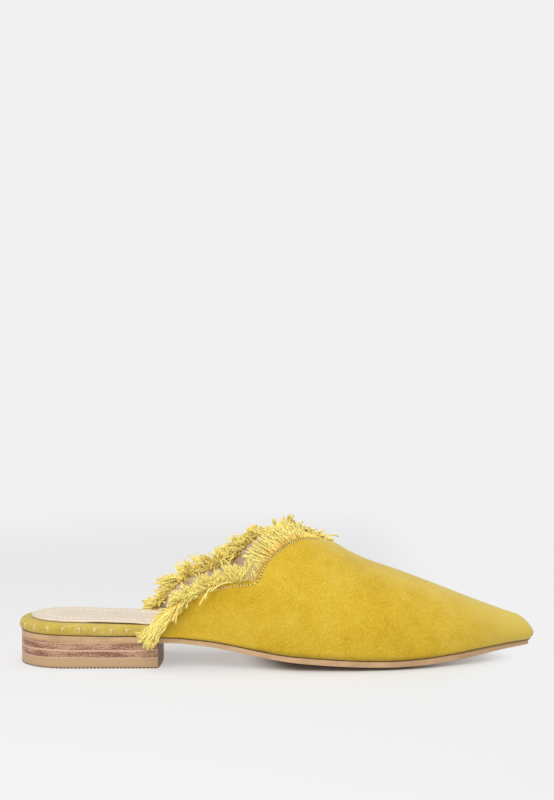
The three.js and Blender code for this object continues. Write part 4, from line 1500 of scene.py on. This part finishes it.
def lift_mesh(low, high, low_salt, high_salt, bevel):
    """One lift of the heel between two joints: rings from below to above."""
    outline = heel_outline()
    inward = unit(np.roll(outline, 1, axis=0) - np.roll(outline, -1, axis=0))
    inward = np.stack([inward[:, 1], -inward[:, 0]], -1)
    closed = np.concatenate([outline, outline[:1]])
    run = run_along(closed)[:-1]
    bottom = low + (joint_wave(run, low_salt) if low_salt else 0)
    top = high + (joint_wave(run, high_salt) if high_salt else 0)
    rows = [(CAP_INSET, 0.0, 0), (bevel, 0.0, 0), (0.3 * bevel, 0.3 * bevel, 0), (0, bevel, 0)]
    rows += [(0, share, 1) for share in (0.12, 0.24, 0.38, 0.5, 0.62, 0.76, 0.88)]
    rows += [(0, bevel, 2), (0.3 * bevel, 0.3 * bevel, 2), (bevel, 0.0, 2), (CAP_INSET, 0.0, 2)]
    points = []
    band = []
    for inset, amount, kind in rows:
        z = (bottom + amount, bottom + (top - bottom) * amount, top - amount)[kind] + 0 * run
        place = outline + inward * inset
        points.append(np.concatenate([place, z[:, None]], -1))
        share = (z - bottom) / np.maximum(top - bottom, 0.1)
        band.append(smooth_step(share, 0.04, 0.2) * (1 - smooth_step(share, 0.86, 1.0)))
    rings = np.array(points)
    faces = rings_to_quads(*rings.shape[:2])
    count = rings.shape[1]
    caps = [list(range(count))[::-1], list(range((len(rings) - 1) * count, len(rings) * count))]
    wrap = np.stack([np.tile(run, len(rings)), rings[..., 2].ravel(), np.zeros(rings[..., 2].size)], -1)
    faces = [tuple(face[::-1]) for face in faces.tolist()] + [tuple(cap) for cap in caps]
    # Painted shade: faces that look forward, at the breast, are marked for the dark colour.
    facing = smooth_step(-inward[:, 0], *BREAST_SHADE_TURN) * (outline[:, 0] > BREAST_X / 2)
    breast = np.tile(facing, len(rings))
    return rings.reshape(-1, 3), faces, {"wrap": wrap, "band": np.array(band).ravel(), "breast": breast}


class SLIPPER_OT_heel(bpy.types.Operator):
    """Stacked heel: two burnished lifts, the plain top lift and the toothed tread"""

    bl_idname = "slipper.heel"
    bl_label = "Heel"

    def execute(self, context):
        settings = context.scene.slipper_sole
        stack = lift_finish(
            "stacked leather", settings.pale, settings.brown, settings.burnt, 1.0, settings.breast,
        )
        plain = lift_finish(
            "top lift", settings.top_lift, linear(180, 145, 106), linear(168, 132, 95), 0.35,
            settings.breast,
        )
        rubber = rubber_finish(
            "tread rubber", settings.tread, linear(54, 43, 35), settings.top_lift,
        )
        for name, low, high, salts, material, slot in (
            ("heel_lift_upper", LOWER_LIFT_TOP, HEEL_SEAT, (1.7, 0), stack, "stacked_leather"),
            ("heel_lift_lower", TOP_LIFT_TOP, LOWER_LIFT_TOP, (0.6, 1.7), stack, "stacked_leather"),
            ("top_lift", TREAD_TOP, TOP_LIFT_TOP, (0, 0.6), plain, "top_lift_rubber"),
        ):
            points, faces, values = lift_mesh(low, high, *salts, bevel=0.16)
            piece = add_piece(f"{name}_layer", points, faces, material, slot, name, values)
            weld(piece, sharp=math.radians(60))
        self.add_tread(rubber)
        return {"FINISHED"}

    def add_tread(self, rubber):
        """Thin plate with teeth across it that show all round its edge."""
        outline = heel_outline()
        closed = np.concatenate([outline, outline[:1]])
        run = run_along(closed)
        count = int(run[-1] / TOOTH_PITCH)
        at = np.repeat(np.arange(count), 4) + np.tile(TOOTH_TURNS, count)
        at = at * run[-1] / count
        tooth = np.tile([0.0, 0.0, 1.0, 1.0], count)
        edge = resample(closed, run, at)
        centre = np.array([(BREAST_X + HEEL_INSET) / 2, 0.0])
        inner = centre + (edge - centre) * TREAD_CORE
        rows = [
            np.concatenate([inner, np.full((len(edge), 1), TREAD_INNER)], -1),
            np.concatenate([edge, (tooth * TOOTH_DEPTH)[:, None]], -1),
            np.concatenate([edge, np.full((len(edge), 1), 0.5 * TREAD_TOP)], -1),
            np.concatenate([edge, np.full((len(edge), 1), TREAD_TOP)], -1),
            np.concatenate([inner, np.full((len(edge), 1), TREAD_TOP)], -1),
        ]
        rings = np.array(rows)
        faces = [tuple(face[::-1]) for face in rings_to_quads(*rings.shape[:2]).tolist()]
        size = rings.shape[1]
        faces += [tuple(range(size))[::-1], tuple(range(4 * size, 5 * size))]
        pale = np.zeros(rings.shape[:2])
        pale[1:3] = tooth
        pale[3] = 1
        piece = add_piece(
            "heel_tread_teeth", rings.reshape(-1, 3), faces, rubber, "tread_rubber", "heel_tread",
            {"pale": pale.ravel()},
        )
        weld(piece, sharp=math.radians(30))


# Stage

CAMERA_PLACE = (92.86 * MM, -1084.49 * MM, 200.45 * MM)
CAMERA_HEADING = math.radians(-0.8)
CAMERA_PITCH = math.radians(-3.349)
FOCAL_PIXELS = 2070.95
PICTURE_HEIGHT = 800
SENSOR = 36.0
FLOOR_REACH = 30.0
SHADOW_REACH = (0.3, 0.8)
SHADOW_SHARE = 0.52
TOE_REACH = (0.17, 0.228)
TOE_LOSS = 0.5
CORE_SHARE = 0.46
BALL_PLACE = (0.162, 0.0, 0.0)
CORE_REACH = (0.05, 0.075)


class SLIPPER_OT_stage(bpy.types.Operator):
    """Pale floor, soft studio light and the camera"""

    bl_idname = "slipper.stage"
    bl_label = "Stage"

    def execute(self, context):
        settings = context.scene.slipper_stage
        self.add_camera(context)
        self.add_floor(settings)
        self.add_light("key", (-0.25, -1.05, 1.15), (0.1, 0.0, 0.0), 1.3, settings.key_power)
        self.add_light("top", (-0.05, 0.15, 1.5), (0.1, 0.0, 0.0), 1.3, settings.top_power)
        self.set_room(context, settings)
        return {"FINISHED"}

    def add_camera(self, context):
        data = bpy.data.cameras.new("camera")
        data.sensor_width = SENSOR
        data.lens = FOCAL_PIXELS / PICTURE_HEIGHT * SENSOR
        camera = bpy.data.objects.new("camera", data)
        camera.matrix_world = (
            Matrix.Translation(CAMERA_PLACE)
            @ Matrix.Rotation(CAMERA_HEADING, 4, "Z")
            @ Matrix.Rotation(math.pi / 2 + CAMERA_PITCH, 4, "X")
        )
        context.scene.collection.objects.link(camera)
        context.scene.camera = camera

    def add_floor(self, settings):
        mesh = bpy.data.meshes.new("floor")
        reach = FLOOR_REACH
        corners = [(-reach, -reach, 0), (reach, -reach, 0), (reach, reach, 0), (-reach, reach, 0)]
        mesh.from_pydata(corners, [], [(0, 1, 2, 3)])
        floor = bpy.data.objects.new("floor", mesh)
        bpy.context.scene.collection.objects.link(floor)
        finish = Finish("pale paper")
        nodes = finish.tree.nodes
        place = finish.place()
        offset = finish.node("ShaderNodeVectorMath", {0: place, 1: BALL_PLACE}, operation="SUBTRACT")
        length = finish.node("ShaderNodeVectorMath", {0: offset.outputs[0]}, operation="LENGTH")
        away = length.outputs["Value"]
        near = finish.math("SUBTRACT", 1.0, finish.span(away, *SHADOW_REACH))
        core = finish.math("SUBTRACT", 1.0, finish.span(away, *CORE_REACH))
        parts = finish.node("ShaderNodeSeparateXYZ", {"Vector": place})
        ahead = finish.span(parts.outputs["X"], *TOE_REACH)
        soft = finish.math("SUBTRACT", SHADOW_SHARE, finish.math("MULTIPLY", ahead, TOE_LOSS))
        depth = finish.math("ADD", finish.math("MULTIPLY", core, CORE_SHARE), soft)
        fibre = finish.noise(place, 900, 2)
        shade = finish.mix(fibre, linear(227, 227, 227), linear(230, 230, 230))
        finish.surface(shade, 0.9, Specular_IOR_Level=0.0)
        glow = finish.node("ShaderNodeEmission", {"Color": settings.paper, "Strength": 1.0})
        share = finish.math("MULTIPLY", near, depth)
        both = nodes.new("ShaderNodeMixShader")
        finish.put(both.inputs[0], share)
        finish.tree.links.new(glow.outputs[0], both.inputs[1])
        finish.tree.links.new(finish.shader.outputs[0], both.inputs[2])
        finish.tree.links.new(both.outputs[0], nodes["Material Output"].inputs["Surface"])
        mesh.materials.append(finish.material)

    def add_light(self, name, place, target, size, power):
        data = bpy.data.lights.new(name, "AREA")
        data.shape = "DISK"
        data.size = size
        data.energy = power
        light = bpy.data.objects.new(name, data)
        aim = np.array(target) - np.array(place)
        heading = math.atan2(-aim[0], aim[1])
        tilt = math.atan2(aim[2], math.hypot(aim[0], aim[1]))
        light.matrix_world = (
            Matrix.Translation(place)
            @ Matrix.Rotation(heading, 4, "Z")
            @ Matrix.Rotation(math.pi / 2 + tilt, 4, "X")
        )
        bpy.context.scene.collection.objects.link(light)

    def set_room(self, context, settings):
        world = bpy.data.worlds.new("room")
        world.use_nodes = True
        tree = world.node_tree
        background = tree.nodes["Background"]
        background.inputs["Color"].default_value = (1, 1, 1, 1)
        background.inputs["Strength"].default_value = settings.sky
        seen = tree.nodes.new("ShaderNodeBackground")
        seen.inputs["Color"].default_value = (*settings.paper, 1)
        ray = tree.nodes.new("ShaderNodeLightPath")
        either = tree.nodes.new("ShaderNodeMixShader")
        tree.links.new(ray.outputs["Is Camera Ray"], either.inputs[0])
        tree.links.new(background.outputs[0], either.inputs[1])
        tree.links.new(seen.outputs[0], either.inputs[2])
        tree.links.new(either.outputs[0], tree.nodes["World Output"].inputs["Surface"])
        context.scene.world = world
        context.scene.view_settings.view_transform = "Standard"


class SLIPPER_PT_panel(bpy.types.Panel):
    """Lists the slipper's pieces and their settings"""

    bl_label = "Slipper"
    bl_space_type = "VIEW_3D"
    bl_region_type = "UI"
    bl_category = "Slipper"

    def draw(self, context):
        for operator in OPERATORS:
            self.layout.operator(operator.bl_idname)
        for key, group in SETTINGS.items():
            box = self.layout.box()
            for name in group.__annotations__:
                box.prop(getattr(context.scene, key), name)


SETTINGS = {
    "slipper_suede": SlipperSuede,
    "slipper_fringe": SlipperFringe,
    "slipper_sole": SlipperSole,
    "slipper_stage": SlipperStage,
}
OPERATORS = (
    SLIPPER_OT_stage,
    SLIPPER_OT_outsole,
    SLIPPER_OT_heel,
    SLIPPER_OT_footbed,
    SLIPPER_OT_insole,
    SLIPPER_OT_upper,
    SLIPPER_OT_collar_stitches,
    SLIPPER_OT_fringe,
)


def register():
    for made in (*SETTINGS.values(), *OPERATORS, SLIPPER_PT_panel):
        bpy.utils.register_class(made)
    for key, group in SETTINGS.items():
        setattr(bpy.types.Scene, key, bpy.props.PointerProperty(type=group))


def unregister():
    for key in SETTINGS:
        delattr(bpy.types.Scene, key)
    for made in (SLIPPER_PT_panel, *reversed(OPERATORS), *SETTINGS.values()):
        bpy.utils.unregister_class(made)


def main():
    register()
    for operator in OPERATORS:
        group, name = operator.bl_idname.split(".")
        getattr(getattr(bpy.ops, group), name)()


if __name__ == "__main__":
    main()
